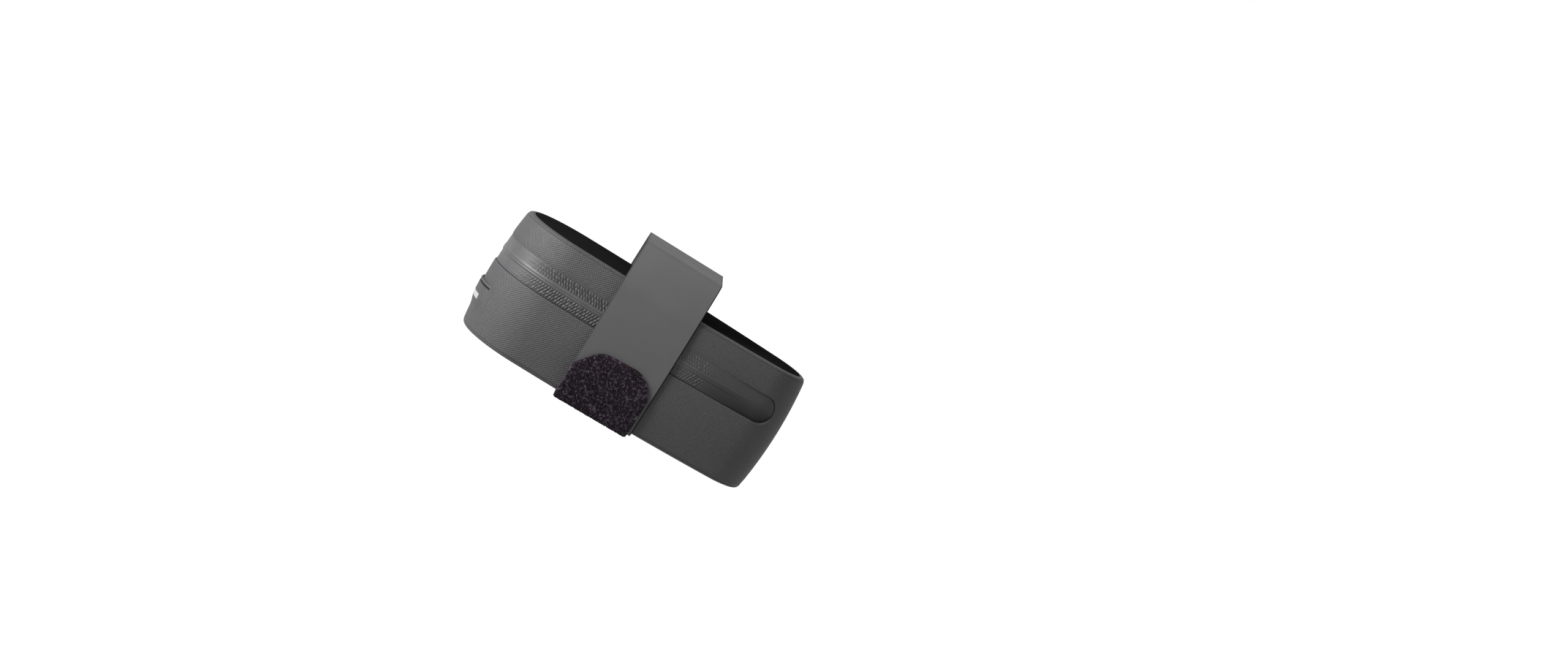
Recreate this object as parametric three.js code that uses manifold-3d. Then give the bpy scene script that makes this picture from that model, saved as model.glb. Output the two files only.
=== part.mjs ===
// A compact bicycle saddle bag, hung by one wide strap that wraps the bag and rises into a loop above it.
// Millimetres. +X points forward along the bag, +Y to its left side, +Z up.
// The origin is the middle of the loop's top run, on the inner face, where the bag's weight hangs.
import * as THREE from 'three';
import Module from 'manifold-3d';

// Driving dimensions. Heights are measured up from the bag's underside, lengths forward from its rear seam.
const BAG = {
  length: 155,
  halfWidth: 31.7,
  height: 62.8,
  widestFromRear: 45,
  sideRadius: 390,
  bulge: 2.3,
  wall: 1.6,
  lip: 3,
  shoulder: 2.4,
  topCrown: 1.5,
};
const STRAP = {
  centreFromRear: 75.5,
  width: 41.4,
  thickness: 1,
  seatHeight: 81,
  bendRadius: 3.5,
  bendFromMiddle: 22,
  rightEnd: 9,
  leftEnd: 6,
};
const TAB = { thickness: 1.2, tail: 14 };
const ZIP = {
  sill: 34.5,
  opening: 14.4,
  endFromNose: 17,
  recess: 0.6,
  tape: 1,
  flange: 4,
  split: 0.3,
};
const SLIDER = { fromEnd: 2, length: 10, halfHeight: 4.2, corner: 2, outer: -2.6, inner: 0.3 };
const PULL = { fromEnd: 5, length: 25, halfHeight: 2.6, corner: 1.3, outer: -2.2, inner: -1 };
const PATCH = { middle: 16.2, halfHeight: 7.3, halfLength: 19.8, corner: 2.5, thickness: 0.8 };
const GAP = 0.3;

// The free end of the tab: its upper edge at stations across the strap, with two clipped corners.
const TAB_EDGE = [
  { x: -20.5, top: 15.5 },
  { x: -19.2, top: 18 },
  { x: -13.6, top: 25 },
  { x: -10, top: 27.4 },
  { x: -6, top: 28 },
  { x: 7, top: 28.4 },
  { x: 11, top: 27.6 },
  { x: 14, top: 25.6 },
  { x: 17.8, top: 20.9 },
  { x: 19, top: 16.5 },
];

// How finely arcs are broken up: the longest step round the plan, and the turns of small corners, in degrees.
const STEP = { degrees: 9, length: 9.5 };
const SLAB_END_TURNS = [12, 30, 50, 70, 90];
const SHOULDER_TURNS = [30, 60, 90];
const WRAP_TURNS = [0, 30, 60, 90];

// Shares of a height, a radius or a width at which soft faces are sampled.
const WALL_SHARES = [0.25, 0.5, 0.75];
const WRAP_SHARES = [0.14, 0.32, 0.5, 0.68, 0.86];
const PANEL_SHARES = [0.06, 0.4, 0.7, 1];
const BEND_SHARES = [0, 1 / 3, 2 / 3, 1];
const TAB_SHARES = [0.3, 0.55, 0.8, 1];
const WIDTH_SHARES = [-0.5, -0.25, 0, 0.25, 0.5];

const degrees = THREE.MathUtils.degToRad;
const rearX = -STRAP.centreFromRear;
const widestX = rearX + BAG.widestFromRear;
const floorZ = -STRAP.seatHeight;

const wasm = await Module();
wasm.setup();

// Plan of the bag at its seams, in tangent arcs: a round rear, two long shallow sides and a narrower nose.
function makePlan() {
  const { length, halfWidth, sideRadius, widestFromRear } = BAG;
  const sideCentre = sideRadius - halfWidth;
  const capRadius = (reach) => (
    (sideRadius ** 2 - reach ** 2 - sideCentre ** 2) / (2 * (sideRadius - reach))
  );
  const rear = capRadius(widestFromRear);
  const nose = capRadius(length - widestFromRear);
  const noseX = rearX + length - nose;
  const rearTurn = Math.atan2(sideCentre, rearX + rear - widestX);
  const noseTurn = Math.atan2(sideCentre, noseX - widestX);
  const arc = (x, y, radius, from, to) => new THREE.EllipseCurve(x, y, radius, radius, from, to);
  const plan = new THREE.CurvePath();
  plan.add(arc(noseX, 0, nose, 0, noseTurn));
  plan.add(arc(widestX, -sideCentre, sideRadius, noseTurn, rearTurn));
  plan.add(arc(rearX + rear, 0, rear, rearTurn, 2 * Math.PI - rearTurn));
  plan.add(arc(widestX, sideCentre, sideRadius, -rearTurn, -noseTurn));
  plan.add(arc(noseX, 0, nose, -noseTurn, 0));
  return plan;
}

const plan = makePlan();
const girth = plan.getLength();

// Distances round the plan, from the nose, at which its arcs are broken into straight facets.
function planStations() {
  const stations = [];
  let start = 0;
  for (const curve of plan.curves) {
    const length = curve.getLength();
    const turn = Math.abs(curve.aEndAngle - curve.aStartAngle);
    const steps = Math.ceil(Math.max(turn / degrees(STEP.degrees), length / STEP.length));
    for (let i = 0; i < steps; i += 1) {
      stations.push(start + (length * i) / steps);
    }
    start += length;
  }
  return stations;
}

const stations = planStations();

// The side wall swells a little between its two seams.
function swell(height) {
  const fromMiddle = (2 * height) / BAG.height - 1;
  return BAG.bulge * (1 - fromMiddle ** 2);
}

// A point on the side wall: distance round the plan, height, and depth inward from the outer face.
function wallPoint(distance, height, depth) {
  const along = THREE.MathUtils.euclideanModulo(distance, girth) / girth;
  const point = plan.getPoint(along);
  const tangent = plan.getTangent(along);
  const out = swell(THREE.MathUtils.clamp(height, 0, BAG.height)) - depth;
  return new THREE.Vector3(point.x + tangent.y * out, point.y - tangent.x * out, floorZ + height);
}

function signedVolume(points, index) {
  let volume = 0;
  const normal = new THREE.Vector3();
  for (let i = 0; i < index.length; i += 3) {
    normal.crossVectors(points[index[i + 1]], points[index[i + 2]]);
    volume += points[index[i]].dot(normal) / 6;
  }
  return volume;
}

// Triangles that close one ring, wound the same way as the ring itself.
function capRing(ring, flatten) {
  const outline = ring.map(flatten);
  const side = Math.sign(THREE.ShapeUtils.area(outline));
  return THREE.ShapeUtils.triangulateShape(outline, []).map((face) => {
    const area = THREE.ShapeUtils.area(face.map((i) => outline[i]));
    return Math.sign(area) === side ? face : [...face].reverse();
  });
}

// A solid through a row of rings with equal counts of points. Without flatten the row closes on itself.
function sweep(rings, flatten = null) {
  const points = rings.flat();
  const count = rings[0].length;
  const spans = flatten ? rings.length - 1 : rings.length;
  const index = [];
  for (let i = 0; i < spans; i += 1) {
    const here = i * count;
    const next = ((i + 1) % rings.length) * count;
    for (let j = 0; j < count; j += 1) {
      const k = (j + 1) % count;
      index.push(here + j, next + j, next + k, here + j, next + k, here + k);
    }
  }
  if (flatten) {
    const last = (rings.length - 1) * count;
    capRing(rings[0], flatten).forEach(([a, b, c]) => index.push(a, b, c));
    capRing(rings.at(-1), flatten).forEach(([a, b, c]) => index.push(last + c, last + b, last + a));
  }
  if (signedVolume(points, index) < 0) {
    index.reverse();
  }
  return new THREE.BufferGeometry().setFromPoints(points).setIndex(index);
}

function toSolid(geometry) {
  const vertProperties = new Float32Array(geometry.getAttribute('position').array);
  const triVerts = new Uint32Array(geometry.getIndex().array);
  return new wasm.Manifold(new wasm.Mesh({ numProp: 3, vertProperties, triVerts }));
}

function toGeometry(solid) {
  const { vertProperties, triVerts } = solid.getMesh();
  const geometry = new THREE.BufferGeometry();
  geometry.setAttribute('position', new THREE.BufferAttribute(new Float32Array(vertProperties), 3));
  geometry.setIndex([...triVerts]);
  return geometry;
}

// A curved slab that follows the side wall between two distances, with rounded ends.
function wallSlab({ from, to, middle, half, corner, outer, inner }) {
  const ends = SLAB_END_TURNS.map(degrees).map((angle) => ({
    inset: corner * (1 - Math.cos(angle)),
    half: half - corner + corner * Math.sin(angle),
  }));
  const between = stations.filter((distance) => distance > from + corner && distance < to - corner);
  const slices = [
    ...ends.map((end) => ({ distance: from + end.inset, half: end.half })),
    ...between.map((distance) => ({ distance, half })),
    ...ends.reverse().map((end) => ({ distance: to - end.inset, half: end.half })),
  ];
  const rings = slices.map((slice) => [
    wallPoint(slice.distance, middle + slice.half, outer),
    wallPoint(slice.distance, middle - slice.half, outer),
    wallPoint(slice.distance, middle - slice.half, inner),
    wallPoint(slice.distance, middle + slice.half, inner),
  ]);
  const flatten = (point) => new THREE.Vector2(Math.hypot(point.x, point.y), point.z);
  return sweep(rings, flatten);
}

const zipMiddle = ZIP.sill + ZIP.opening / 2;

// The zip window and what fills it, as slabs on the side wall that share one outline.
function zipSlab(grow, outer, inner, corner = ZIP.opening / 2 + grow) {
  return wallSlab({
    from: ZIP.endFromNose - grow,
    to: girth - ZIP.endFromNose + grow,
    middle: zipMiddle,
    half: ZIP.opening / 2 + grow,
    corner,
    outer,
    inner,
  });
}

// Side wall: a C-shaped section with lips turned in at both seams, carried round the plan, less the zip window.
function sideWall() {
  const { height, wall, lip, shoulder } = BAG;
  const lowerEdge = SHOULDER_TURNS.map(degrees).map((turn) => ({
    depth: shoulder * (1 - Math.sin(turn)),
    height: shoulder * (1 - Math.cos(turn)),
  }));
  const side = WALL_SHARES.map((share) => ({ depth: 0, height: height * share }));
  const flip = (section) => section.map((p) => ({ depth: p.depth, height: height - p.height })).reverse();
  const outLower = [{ depth: lip, height: 0 }, ...lowerEdge];
  const outside = [...outLower, ...side, ...flip(outLower)];
  const inLower = [{ depth: lip, height: wall }, { depth: wall, height: wall + shoulder }];
  const inside = [...inLower, ...side.map((p) => ({ depth: wall, height: p.height })), ...flip(inLower)];
  const section = [...outside, ...inside.reverse()];
  const rings = stations.map((distance) => section.map((p) => wallPoint(distance, p.height, p.depth)));
  const window = zipSlab(0, -BAG.bulge, BAG.lip * 2);
  return toGeometry(toSolid(sweep(rings)).subtract(toSolid(window)));
}

// Panel let in between the wall's lips: rings run out over its lower face, up the rim and in over its upper face.
function panel(under, crown) {
  const inset = BAG.lip + GAP;
  const rim = stations.map((distance) => wallPoint(distance, under > 0 ? BAG.height : 0, inset));
  const ring = (share, lift) => rim.map((point) => new THREE.Vector3(
    widestX + (point.x - widestX) * share,
    point.y * share,
    floorZ + under + lift + crown * (1 - share ** 2),
  ));
  const rings = [
    ...PANEL_SHARES.map((share) => ring(share, 0)),
    ...PANEL_SHARES.map((share) => ring(share, BAG.wall)).reverse(),
  ];
  return sweep(rings, (point) => new THREE.Vector2(point.x, point.y));
}

// Two tapes fill the window and spread behind the wall. They meet on the line where the zip opens.
function zipTape(side) {
  const behind = BAG.wall + GAP;
  const shown = toSolid(zipSlab(-GAP, ZIP.recess, behind + ZIP.tape / 2));
  const hidden = toSolid(zipSlab(ZIP.flange, behind, behind + ZIP.tape, ZIP.flange));
  const reach = ZIP.opening;
  const half = toSolid(wallSlab({
    from: ZIP.endFromNose - reach,
    to: girth - ZIP.endFromNose + reach,
    middle: zipMiddle + side * (reach + ZIP.split) / 2,
    half: reach / 2,
    corner: 1,
    outer: -BAG.bulge,
    inner: BAG.lip * 2,
  }));
  return toGeometry(shown.add(hidden).intersect(half));
}

// Slider and pull in one, parked at the front end of the zip on the left side.
function zipSlider() {
  const [body, pull] = [SLIDER, PULL].map(({ fromEnd, length, halfHeight, ...shape }) => toSolid(wallSlab({
    from: ZIP.endFromNose + fromEnd,
    to: ZIP.endFromNose + fromEnd + length,
    middle: zipMiddle,
    half: halfHeight,
    ...shape,
  })));
  return toGeometry(body.add(pull));
}

// Low patch on the round rear face.
function rearPatch() {
  return wallSlab({
    from: girth / 2 - PATCH.halfLength,
    to: girth / 2 + PATCH.halfLength,
    middle: PATCH.middle,
    half: PATCH.halfHeight,
    corner: PATCH.corner,
    outer: -GAP - PATCH.thickness,
    inner: -GAP,
  });
}

// Half-width of the bag at a station along it, at one height, with the wall's swell.
function sideAt(x, height) {
  const sag = BAG.sideRadius - Math.sqrt(BAG.sideRadius ** 2 - (x - widestX) ** 2);
  return BAG.halfWidth - sag + swell(height);
}

const sideHeights = WRAP_SHARES.map((share) => share * BAG.height);
const bendHeight = BAG.height - BAG.shoulder;

// One lower corner of the wrap, round the bag's bottom edge, from the side to the underside.
function lowerCorner(x, clearance) {
  const radius = BAG.shoulder + clearance;
  const centre = sideAt(x, BAG.shoulder) - BAG.shoulder;
  return WRAP_TURNS.map(degrees).map((turn) => new THREE.Vector2(
    centre + radius * Math.cos(turn),
    BAG.shoulder - radius * Math.sin(turn),
  ));
}

// Where the wrap leaves the bag's top edge, leans in and bends over into the loop's top run.
function loopBend(x, clearance) {
  const radius = STRAP.bendRadius + clearance - GAP;
  const centre = new THREE.Vector2(STRAP.bendFromMiddle, STRAP.seatHeight - STRAP.bendRadius);
  const leave = new THREE.Vector2(sideAt(x, bendHeight) + clearance, bendHeight);
  const toLeave = leave.clone().sub(centre);
  const touch = toLeave.angle() - 2 * Math.PI + Math.acos(radius / toLeave.length());
  const turns = BEND_SHARES.map((share) => THREE.MathUtils.lerp(touch, Math.PI / 2, share));
  const over = turns.map((turn) => new THREE.Vector2(
    centre.x + radius * Math.cos(turn),
    centre.y + radius * Math.sin(turn),
  ));
  return [leave, ...over];
}

const mirror = (points) => points.map((point) => new THREE.Vector2(-point.x, point.y));

// Path of the band at one station: from under the bag up its right side, through the loop and back underneath.
// Its two ends meet under the bag, where the tab bridges them.
function bandPath(x, clearance) {
  const onSide = (height) => new THREE.Vector2(sideAt(x, height) + clearance, height);
  const under = (y) => new THREE.Vector2(y, -clearance);
  const corner = lowerCorner(x, clearance).reverse();
  const climb = [...corner, ...sideHeights.map(onSide), ...loopBend(x, clearance)];
  return [under(-STRAP.rightEnd), ...mirror(climb), ...climb.reverse(), under(-STRAP.leftEnd)];
}

// Path of the tab at one station: from its tail under the bag, round the right edge and up to its free end.
function tabPath(x, clearance, top) {
  const onSide = (height) => new THREE.Vector2(sideAt(x, height) + clearance, height);
  const rise = TAB_SHARES.map((share) => onSide(THREE.MathUtils.lerp(BAG.shoulder, top, share)));
  const corner = lowerCorner(x, clearance).reverse();
  const tail = new THREE.Vector2(TAB.tail, -clearance);
  return [tail, ...mirror(corner), ...mirror(rise)];
}

// A flat strip of webbing: one path at two clearances makes a section, swept through stations across the strap.
function webbing(xs, path, clearance, thickness) {
  const rings = xs.map((x, i) => {
    const inner = path(x, clearance, i);
    const outer = path(x, clearance + thickness, i);
    return [...inner, ...outer.reverse()].map((p) => new THREE.Vector3(x, p.x, floorZ + p.y));
  });
  return sweep(rings, (point) => new THREE.Vector2(point.y, point.z));
}

function strapBand() {
  const xs = WIDTH_SHARES.map((share) => share * STRAP.width);
  return webbing(xs, bandPath, GAP, STRAP.thickness);
}

function strapTab() {
  const path = (x, clearance, i) => tabPath(x, clearance, TAB_EDGE[i].top);
  return webbing(TAB_EDGE.map((row) => row.x), path, GAP + STRAP.thickness + GAP, TAB.thickness);
}

const FABRIC = { color: 0x3d3d3f, roughness: 0.72, metalness: 0 };
const PANEL = { color: 0x1b1b1d, roughness: 0.8, metalness: 0 };
const TAPE = { color: 0x474749, roughness: 0.55, metalness: 0 };
const HARDWARE = { color: 0x2a2a2c, roughness: 0.4, metalness: 0 };
const RUBBER = { color: 0x555658, roughness: 0.6, metalness: 0 };
const COATED = { color: 0x5e5f61, roughness: 0.65, metalness: 0 };
const PILE = { color: 0x2b282d, roughness: 0.95, metalness: 0 };

const pieces = [
  { name: 'side_wall', geometry: sideWall(), finish: FABRIC },
  { name: 'top_panel', geometry: panel(BAG.height - BAG.wall, BAG.topCrown), finish: PANEL },
  { name: 'bottom_panel', geometry: panel(0, 0), finish: PANEL },
  { name: 'zip_tape_upper', geometry: zipTape(1), finish: TAPE },
  { name: 'zip_tape_lower', geometry: zipTape(-1), finish: TAPE },
  { name: 'zip_slider', geometry: zipSlider(), finish: HARDWARE },
  { name: 'rear_patch', geometry: rearPatch(), finish: RUBBER },
  { name: 'strap_band', geometry: strapBand(), finish: COATED },
  { name: 'strap_tab', geometry: strapTab(), finish: PILE },
];

const saddleBag = new THREE.Group();
for (const { name, geometry, finish } of pieces) {
  geometry.computeVertexNormals();
  const mesh = new THREE.Mesh(geometry, new THREE.MeshStandardMaterial(finish));
  mesh.name = name;
  saddleBag.add(mesh);
}

export default saddleBag;
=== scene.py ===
# %% [markdown]
# # A small saddle bag, dressed over its CAD frame
# The real bag is a stiff shell of coated cloth. One wall is bent round a long teardrop plan, a panel
# closes it above and another below, a zip runs round the rear, and one wide strap wraps the lot and
# rises into a loop. Each step below makes one piece or one finish. Sizes stay in millimetres, as a bag
# maker writes them, until a mesh is made. One factor then turns them into Blender's metres.

# %% Load the frame
import math

import bmesh
import bpy
import numpy as np
from mathutils import Matrix, Vector


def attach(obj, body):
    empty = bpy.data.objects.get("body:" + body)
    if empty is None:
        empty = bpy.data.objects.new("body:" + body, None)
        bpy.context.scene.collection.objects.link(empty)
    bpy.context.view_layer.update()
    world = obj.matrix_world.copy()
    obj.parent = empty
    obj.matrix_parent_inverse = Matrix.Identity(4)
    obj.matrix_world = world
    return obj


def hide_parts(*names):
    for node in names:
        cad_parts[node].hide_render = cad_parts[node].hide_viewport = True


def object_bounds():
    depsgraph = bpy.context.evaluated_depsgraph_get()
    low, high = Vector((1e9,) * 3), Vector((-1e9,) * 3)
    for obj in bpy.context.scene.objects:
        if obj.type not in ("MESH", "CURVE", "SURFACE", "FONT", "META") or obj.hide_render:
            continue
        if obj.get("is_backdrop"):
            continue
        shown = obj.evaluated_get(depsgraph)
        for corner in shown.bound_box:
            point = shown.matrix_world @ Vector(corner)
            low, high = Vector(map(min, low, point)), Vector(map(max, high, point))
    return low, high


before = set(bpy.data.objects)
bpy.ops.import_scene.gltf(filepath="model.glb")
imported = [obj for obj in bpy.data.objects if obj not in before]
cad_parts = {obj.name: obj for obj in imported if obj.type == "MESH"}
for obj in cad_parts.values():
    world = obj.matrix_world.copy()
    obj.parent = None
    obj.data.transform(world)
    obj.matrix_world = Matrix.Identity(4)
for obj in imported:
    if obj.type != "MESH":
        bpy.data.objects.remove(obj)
cad_box = [list(corner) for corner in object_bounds()]
print("CAD nodes:", ", ".join(sorted(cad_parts)))

# %% [markdown]
# ## The plan of the bag
# Seen from above, the shell is five arcs that run into each other without a kink: half a nose, a long
# shallow side, a round rear, the other side and the other half of the nose. A spline would also do, but
# arcs give the exact outward direction at every point, and that is what lays cloth, zip and patch on the
# wall later.

# %% Sizes of the shell and its plan
MM = 0.001
LENGTH = 155.0
HALF_WIDTH = 31.7
HEIGHT = 62.8
WIDEST_FROM_REAR = 45.0
SIDE_RADIUS = 390.0
BULGE = 2.3
WALL = 1.6
LIP = 3.0
SHOULDER = 2.4
GAP = 0.3
STRAP_FROM_REAR = 75.5
FLOOR_Z = -81.0

rear_x = -STRAP_FROM_REAR
widest_x = rear_x + WIDEST_FROM_REAR
side_centre = SIDE_RADIUS - HALF_WIDTH


def cap_radius(reach):
    """Radius of the end arc that touches both sides and ends that far from the widest station."""
    return (SIDE_RADIUS**2 - reach**2 - side_centre**2) / (2 * (SIDE_RADIUS - reach))


rear_radius = cap_radius(WIDEST_FROM_REAR)
nose_radius = cap_radius(LENGTH - WIDEST_FROM_REAR)
rear_centre = rear_x + rear_radius
nose_centre = rear_x + LENGTH - nose_radius
rear_turn = math.atan2(side_centre, rear_centre - widest_x)
nose_turn = math.atan2(side_centre, nose_centre - widest_x)

# One row for each arc, counter-clockwise from the nose: centre x and y, radius, first and last angle.
ARCS = np.array([
    (nose_centre, 0, nose_radius, 0, nose_turn),
    (widest_x, -side_centre, SIDE_RADIUS, nose_turn, rear_turn),
    (rear_centre, 0, rear_radius, rear_turn, 2 * math.pi - rear_turn),
    (widest_x, side_centre, SIDE_RADIUS, -rear_turn, -nose_turn),
    (nose_centre, 0, nose_radius, -nose_turn, 0),
])
ARC_ENDS = np.concatenate([[0], np.cumsum(ARCS[:, 2] * (ARCS[:, 4] - ARCS[:, 3]))])
GIRTH = ARC_ENDS[-1]


def plan(distance):
    """Points of the plan and their outward directions, at distances round it from the nose."""
    distance = np.mod(distance, GIRTH)
    which = np.clip(np.searchsorted(ARC_ENDS, distance, side="right") - 1, 0, len(ARCS) - 1)
    x, y, radius, start, _ = np.moveaxis(ARCS[which], -1, 0)
    angle = start + (distance - ARC_ENDS[which]) / radius
    outward = np.stack([np.cos(angle), np.sin(angle)], -1)
    return np.stack([x, y], -1) + radius[..., None] * outward, outward


def swell(height):
    """How far the wall swells out between its two seams."""
    return BULGE * (1 - (2 * np.clip(height, 0, HEIGHT) / HEIGHT - 1) ** 2)


def on_wall(distance, height, depth=0.0):
    """Points on the wall: distance round the plan, height, and depth inward from the outer face."""
    distance, height, depth = np.broadcast_arrays(*(np.asarray(a, float) for a in (distance, height, depth)))
    point, outward = plan(distance)
    out = swell(height) - depth
    return np.concatenate([point + out[..., None] * outward, (FLOOR_Z + height)[..., None]], -1)


print(f"girth {GIRTH:.1f} mm, rear radius {rear_radius:.1f} mm, nose radius {nose_radius:.1f} mm")

# %% [markdown]
# ## From grids of points to sewn pieces
# Most pieces here are bent sheets, so each is drawn as one or more grids of points, the way panels are
# cut before they are sewn. Every point also keeps its place on the flat cloth, as a UV map in
# millimetres, so that a weave later runs with the cloth and not through space. Sewing merges the edges
# that meet, closes thin ends and turns the faces outwards.

# %% Sewing helpers
CLOTH_MAP = "cloth"


def grid_faces(rows, columns, first, wrap_rows, wrap_columns):
    """Quads of a grid of points that are listed row by row."""
    index = first + np.arange(rows * columns).reshape(rows, columns)
    if wrap_rows:
        index = np.vstack([index, index[:1]])
    if wrap_columns:
        index = np.hstack([index, index[:, :1]])
    quads = [index[:-1, :-1], index[:-1, 1:], index[1:, 1:], index[1:, :-1]]
    return np.stack(quads, -1).reshape(-1, 4).tolist()


class Cut:
    """Grids of points that are to be sewn into one mesh, each point with its place on the flat cloth."""

    def __init__(self):
        self.points = np.empty((0, 3))
        self.flat = np.empty((0, 2))
        self.faces = []

    def add(self, points, flat, wrap_rows=False, wrap_columns=False):
        """Adds one grid of points. It can close on itself along its rows or its columns."""
        rows, columns = points.shape[:2]
        self.faces += grid_faces(rows, columns, len(self.points), wrap_rows, wrap_columns)
        self.points = np.vstack([self.points, points.reshape(-1, 3)])
        flat = np.broadcast_to(flat, points.shape[:2] + (2,))
        self.flat = np.vstack([self.flat, flat.reshape(-1, 2)])
        return self

    def sew(self, name):
        """Makes one closed mesh object of all grids."""
        mesh = bpy.data.meshes.new(name)
        mesh.from_pydata((self.points * MM).tolist(), [], self.faces)
        corners = np.empty(len(mesh.loops), int)
        mesh.loops.foreach_get("vertex_index", corners)
        layer = mesh.uv_layers.new(name=CLOTH_MAP)
        layer.uv.foreach_set("vector", self.flat[corners].astype(np.float32).ravel())
        close_up(mesh)
        return add_object(name, mesh)


def both(first, second):
    """Two equally shaped arrays, or numbers, as pairs."""
    return np.stack(np.broadcast_arrays(first, second), -1)


print("places on the flat cloth are kept in the UV map", CLOTH_MAP)

# %% Helpers that finish a piece
MERGE = 1e-6
SHARP = math.radians(50)


def close_up(mesh):
    """Merges seams, fills open ends, turns faces outwards and shades all but sharp corners smooth."""
    work = bmesh.new()
    work.from_mesh(mesh)
    bmesh.ops.remove_doubles(work, verts=work.verts, dist=MERGE)
    bmesh.ops.dissolve_degenerate(work, edges=work.edges, dist=MERGE)
    bmesh.ops.holes_fill(work, edges=[e for e in work.edges if e.is_boundary])
    bmesh.ops.recalc_face_normals(work, faces=work.faces)
    for face in work.faces:
        face.smooth = True
    work.to_mesh(mesh)
    work.free()
    mesh.set_sharp_from_angle(angle=SHARP)


def add_object(name, mesh):
    """A new object in the scene, from a mesh, a camera or a light."""
    made = bpy.data.objects.new(name, mesh)
    bpy.context.scene.collection.objects.link(made)
    return made


def hang(piece, finish, slot, *nodes):
    """Gives a piece its material and puts it on the bag's one body, in place of its CAD nodes."""
    if finish.name not in piece.data.materials:
        piece.data.materials.append(finish)
    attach(piece, "root")
    if nodes:
        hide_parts(*nodes)
    piece.data.calc_loop_triangles()
    print(f"{piece.name}: {len(piece.data.loop_triangles)} triangles, finish {finish.name}")
    return piece


print(f"edges under {math.degrees(SHARP):.0f} degrees are shaded smooth")

# %% [markdown]
# ## Writing node maths as maths
# Shaders and Geometry Nodes are graphs, and long graphs are hard to read as calls. One small class wraps
# an output socket, so that sums and products of wires add Math nodes by themselves. Its method `node`
# makes every other kind of node: first the settings, then a value or a wire for each socket.

# %% The wire class
def pick(sockets, key):
    """A socket by its number, or the first that is in use by its name."""
    if isinstance(key, int):
        return sockets[key]
    return next(s for s in sockets if s.name == key and s.enabled)


class Wire:
    """An output socket in a node tree. Arithmetic on it adds Math nodes."""

    def __init__(self, tree, socket=None):
        self.tree = tree
        self.socket = socket

    def node(self, kind, settings=None, sockets=None, out=0):
        """A new node in the same tree, as the wire that leaves one of its outputs."""
        made = self.tree.nodes.new(kind)
        for name, value in (settings or {}).items():
            setattr(made, name, value)
        for key, value in (sockets or {}).items():
            self.plug(value, pick(made.inputs, key))
        return Wire(self.tree, pick(made.outputs, out))

    def plug(self, value, socket):
        if isinstance(value, Wire):
            self.tree.links.new(value.socket, socket)
        else:
            socket.default_value = value

    def other(self, key):
        """Another output of the same node."""
        return Wire(self.tree, pick(self.socket.node.outputs, key))

    def maths(self, operation, *values):
        return self.node("ShaderNodeMath", {"operation": operation}, dict(enumerate(values)))

    def __add__(self, value):
        return self.maths("ADD", self, value)

    def __sub__(self, value):
        return self.maths("SUBTRACT", self, value)

    def __rsub__(self, value):
        return self.maths("SUBTRACT", value, self)

    def __mul__(self, value):
        return self.maths("MULTIPLY", self, value)

    __radd__ = __add__
    __rmul__ = __mul__

    def sine(self):
        return self.maths("SINE", self)

    def size(self):
        return self.maths("ABSOLUTE", self)

    def step(self, low, high):
        """0 below low, 1 above high, and a smooth ramp between."""
        sockets = {"Value": self, "From Min": low, "From Max": high}
        return self.node("ShaderNodeMapRange", {"interpolation_type": "SMOOTHSTEP"}, sockets)

    def vector(self, operation, *values):
        return self.node("ShaderNodeVectorMath", {"operation": operation}, dict(enumerate(values)))

    def scaled(self, by):
        sockets = {0: self, "Scale": by}
        return self.node("ShaderNodeVectorMath", {"operation": "SCALE"}, sockets)

    def join(self, x, y, z):
        return self.node("ShaderNodeCombineXYZ", None, {"X": x, "Y": y, "Z": z})

    def split(self):
        x = self.node("ShaderNodeSeparateXYZ", None, {0: self}, "X")
        return x, x.other("Y"), x.other("Z")

    def mix(self, first, second):
        """A colour from first to second as this wire goes from 0 to 1."""
        sockets = {"Factor": self, "A": first, "B": second}
        return self.node("ShaderNodeMix", {"data_type": "RGBA"}, sockets, "Result")


print("Wire has", ", ".join(n for n in vars(Wire) if not n.startswith("_")))

# %% Finish helpers
def new_finish(name):
    """A new material and a first wire in its tree."""
    material = bpy.data.materials.new(name)
    material.use_nodes = True
    return material, Wire(material.node_tree)


def shade(material, colour, roughness, normal, **constants):
    """Plugs what varies into the shader, and sets what doesn't on its own sockets."""
    tree = material.node_tree
    shader = next(n for n in tree.nodes if n.type == "BSDF_PRINCIPLED")
    varying = {"Base Color": colour, "Roughness": roughness, "Normal": normal}
    for label, wire in varying.items():
        tree.links.new(wire.socket, shader.inputs[label])
    for label, value in constants.items():
        shader.inputs[label.replace("_", " ")].default_value = value
    print(f"{material.name}: {len(tree.nodes)} nodes")


def grain(start, scale, detail=2.0):
    """Noise that is fixed to the piece, from 0 to 1. A larger scale makes a finer grain."""
    where = start.node("ShaderNodeTexCoord", out="Object")
    sockets = {"Vector": where, "Scale": scale, "Detail": detail}
    return start.node("ShaderNodeTexNoise", None, sockets)


def bump(height, distance, strength):
    """A normal that follows a height from 0 to 1 over a distance in millimetres."""
    sockets = {"Height": height, "Distance": distance * MM, "Strength": strength}
    return height.node("ShaderNodeBump", None, sockets, "Normal")


def grey(level, tint=0.0):
    """A dark grey with a touch of blue, as linear colour."""
    return level, level, level * (1 + tint), 1.0


def cloth_place(start):
    """Places round and up the flat cloth, in millimetres."""
    return start.node("ShaderNodeUVMap", {"uv_map": CLOTH_MAP}).split()[:2]


def part_place(start):
    """Places in the part's own frame, in millimetres."""
    return start.node("ShaderNodeTexCoord", out="Object").scaled(1 / MM).split()


print("finishes are in the part's frame: one unit of bump or place is", MM, "m")

# %% [markdown]
# ## Camera
# The bag is photographed nose down, from its right side and a little above. The part keeps its own
# upright frame, so it is the camera that leans: its right and up directions are turned by the bag's
# tilt. The picture is wider than the bag needs, and the bag sits left of its middle, so the camera
# stands off to one side by that much.

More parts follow.
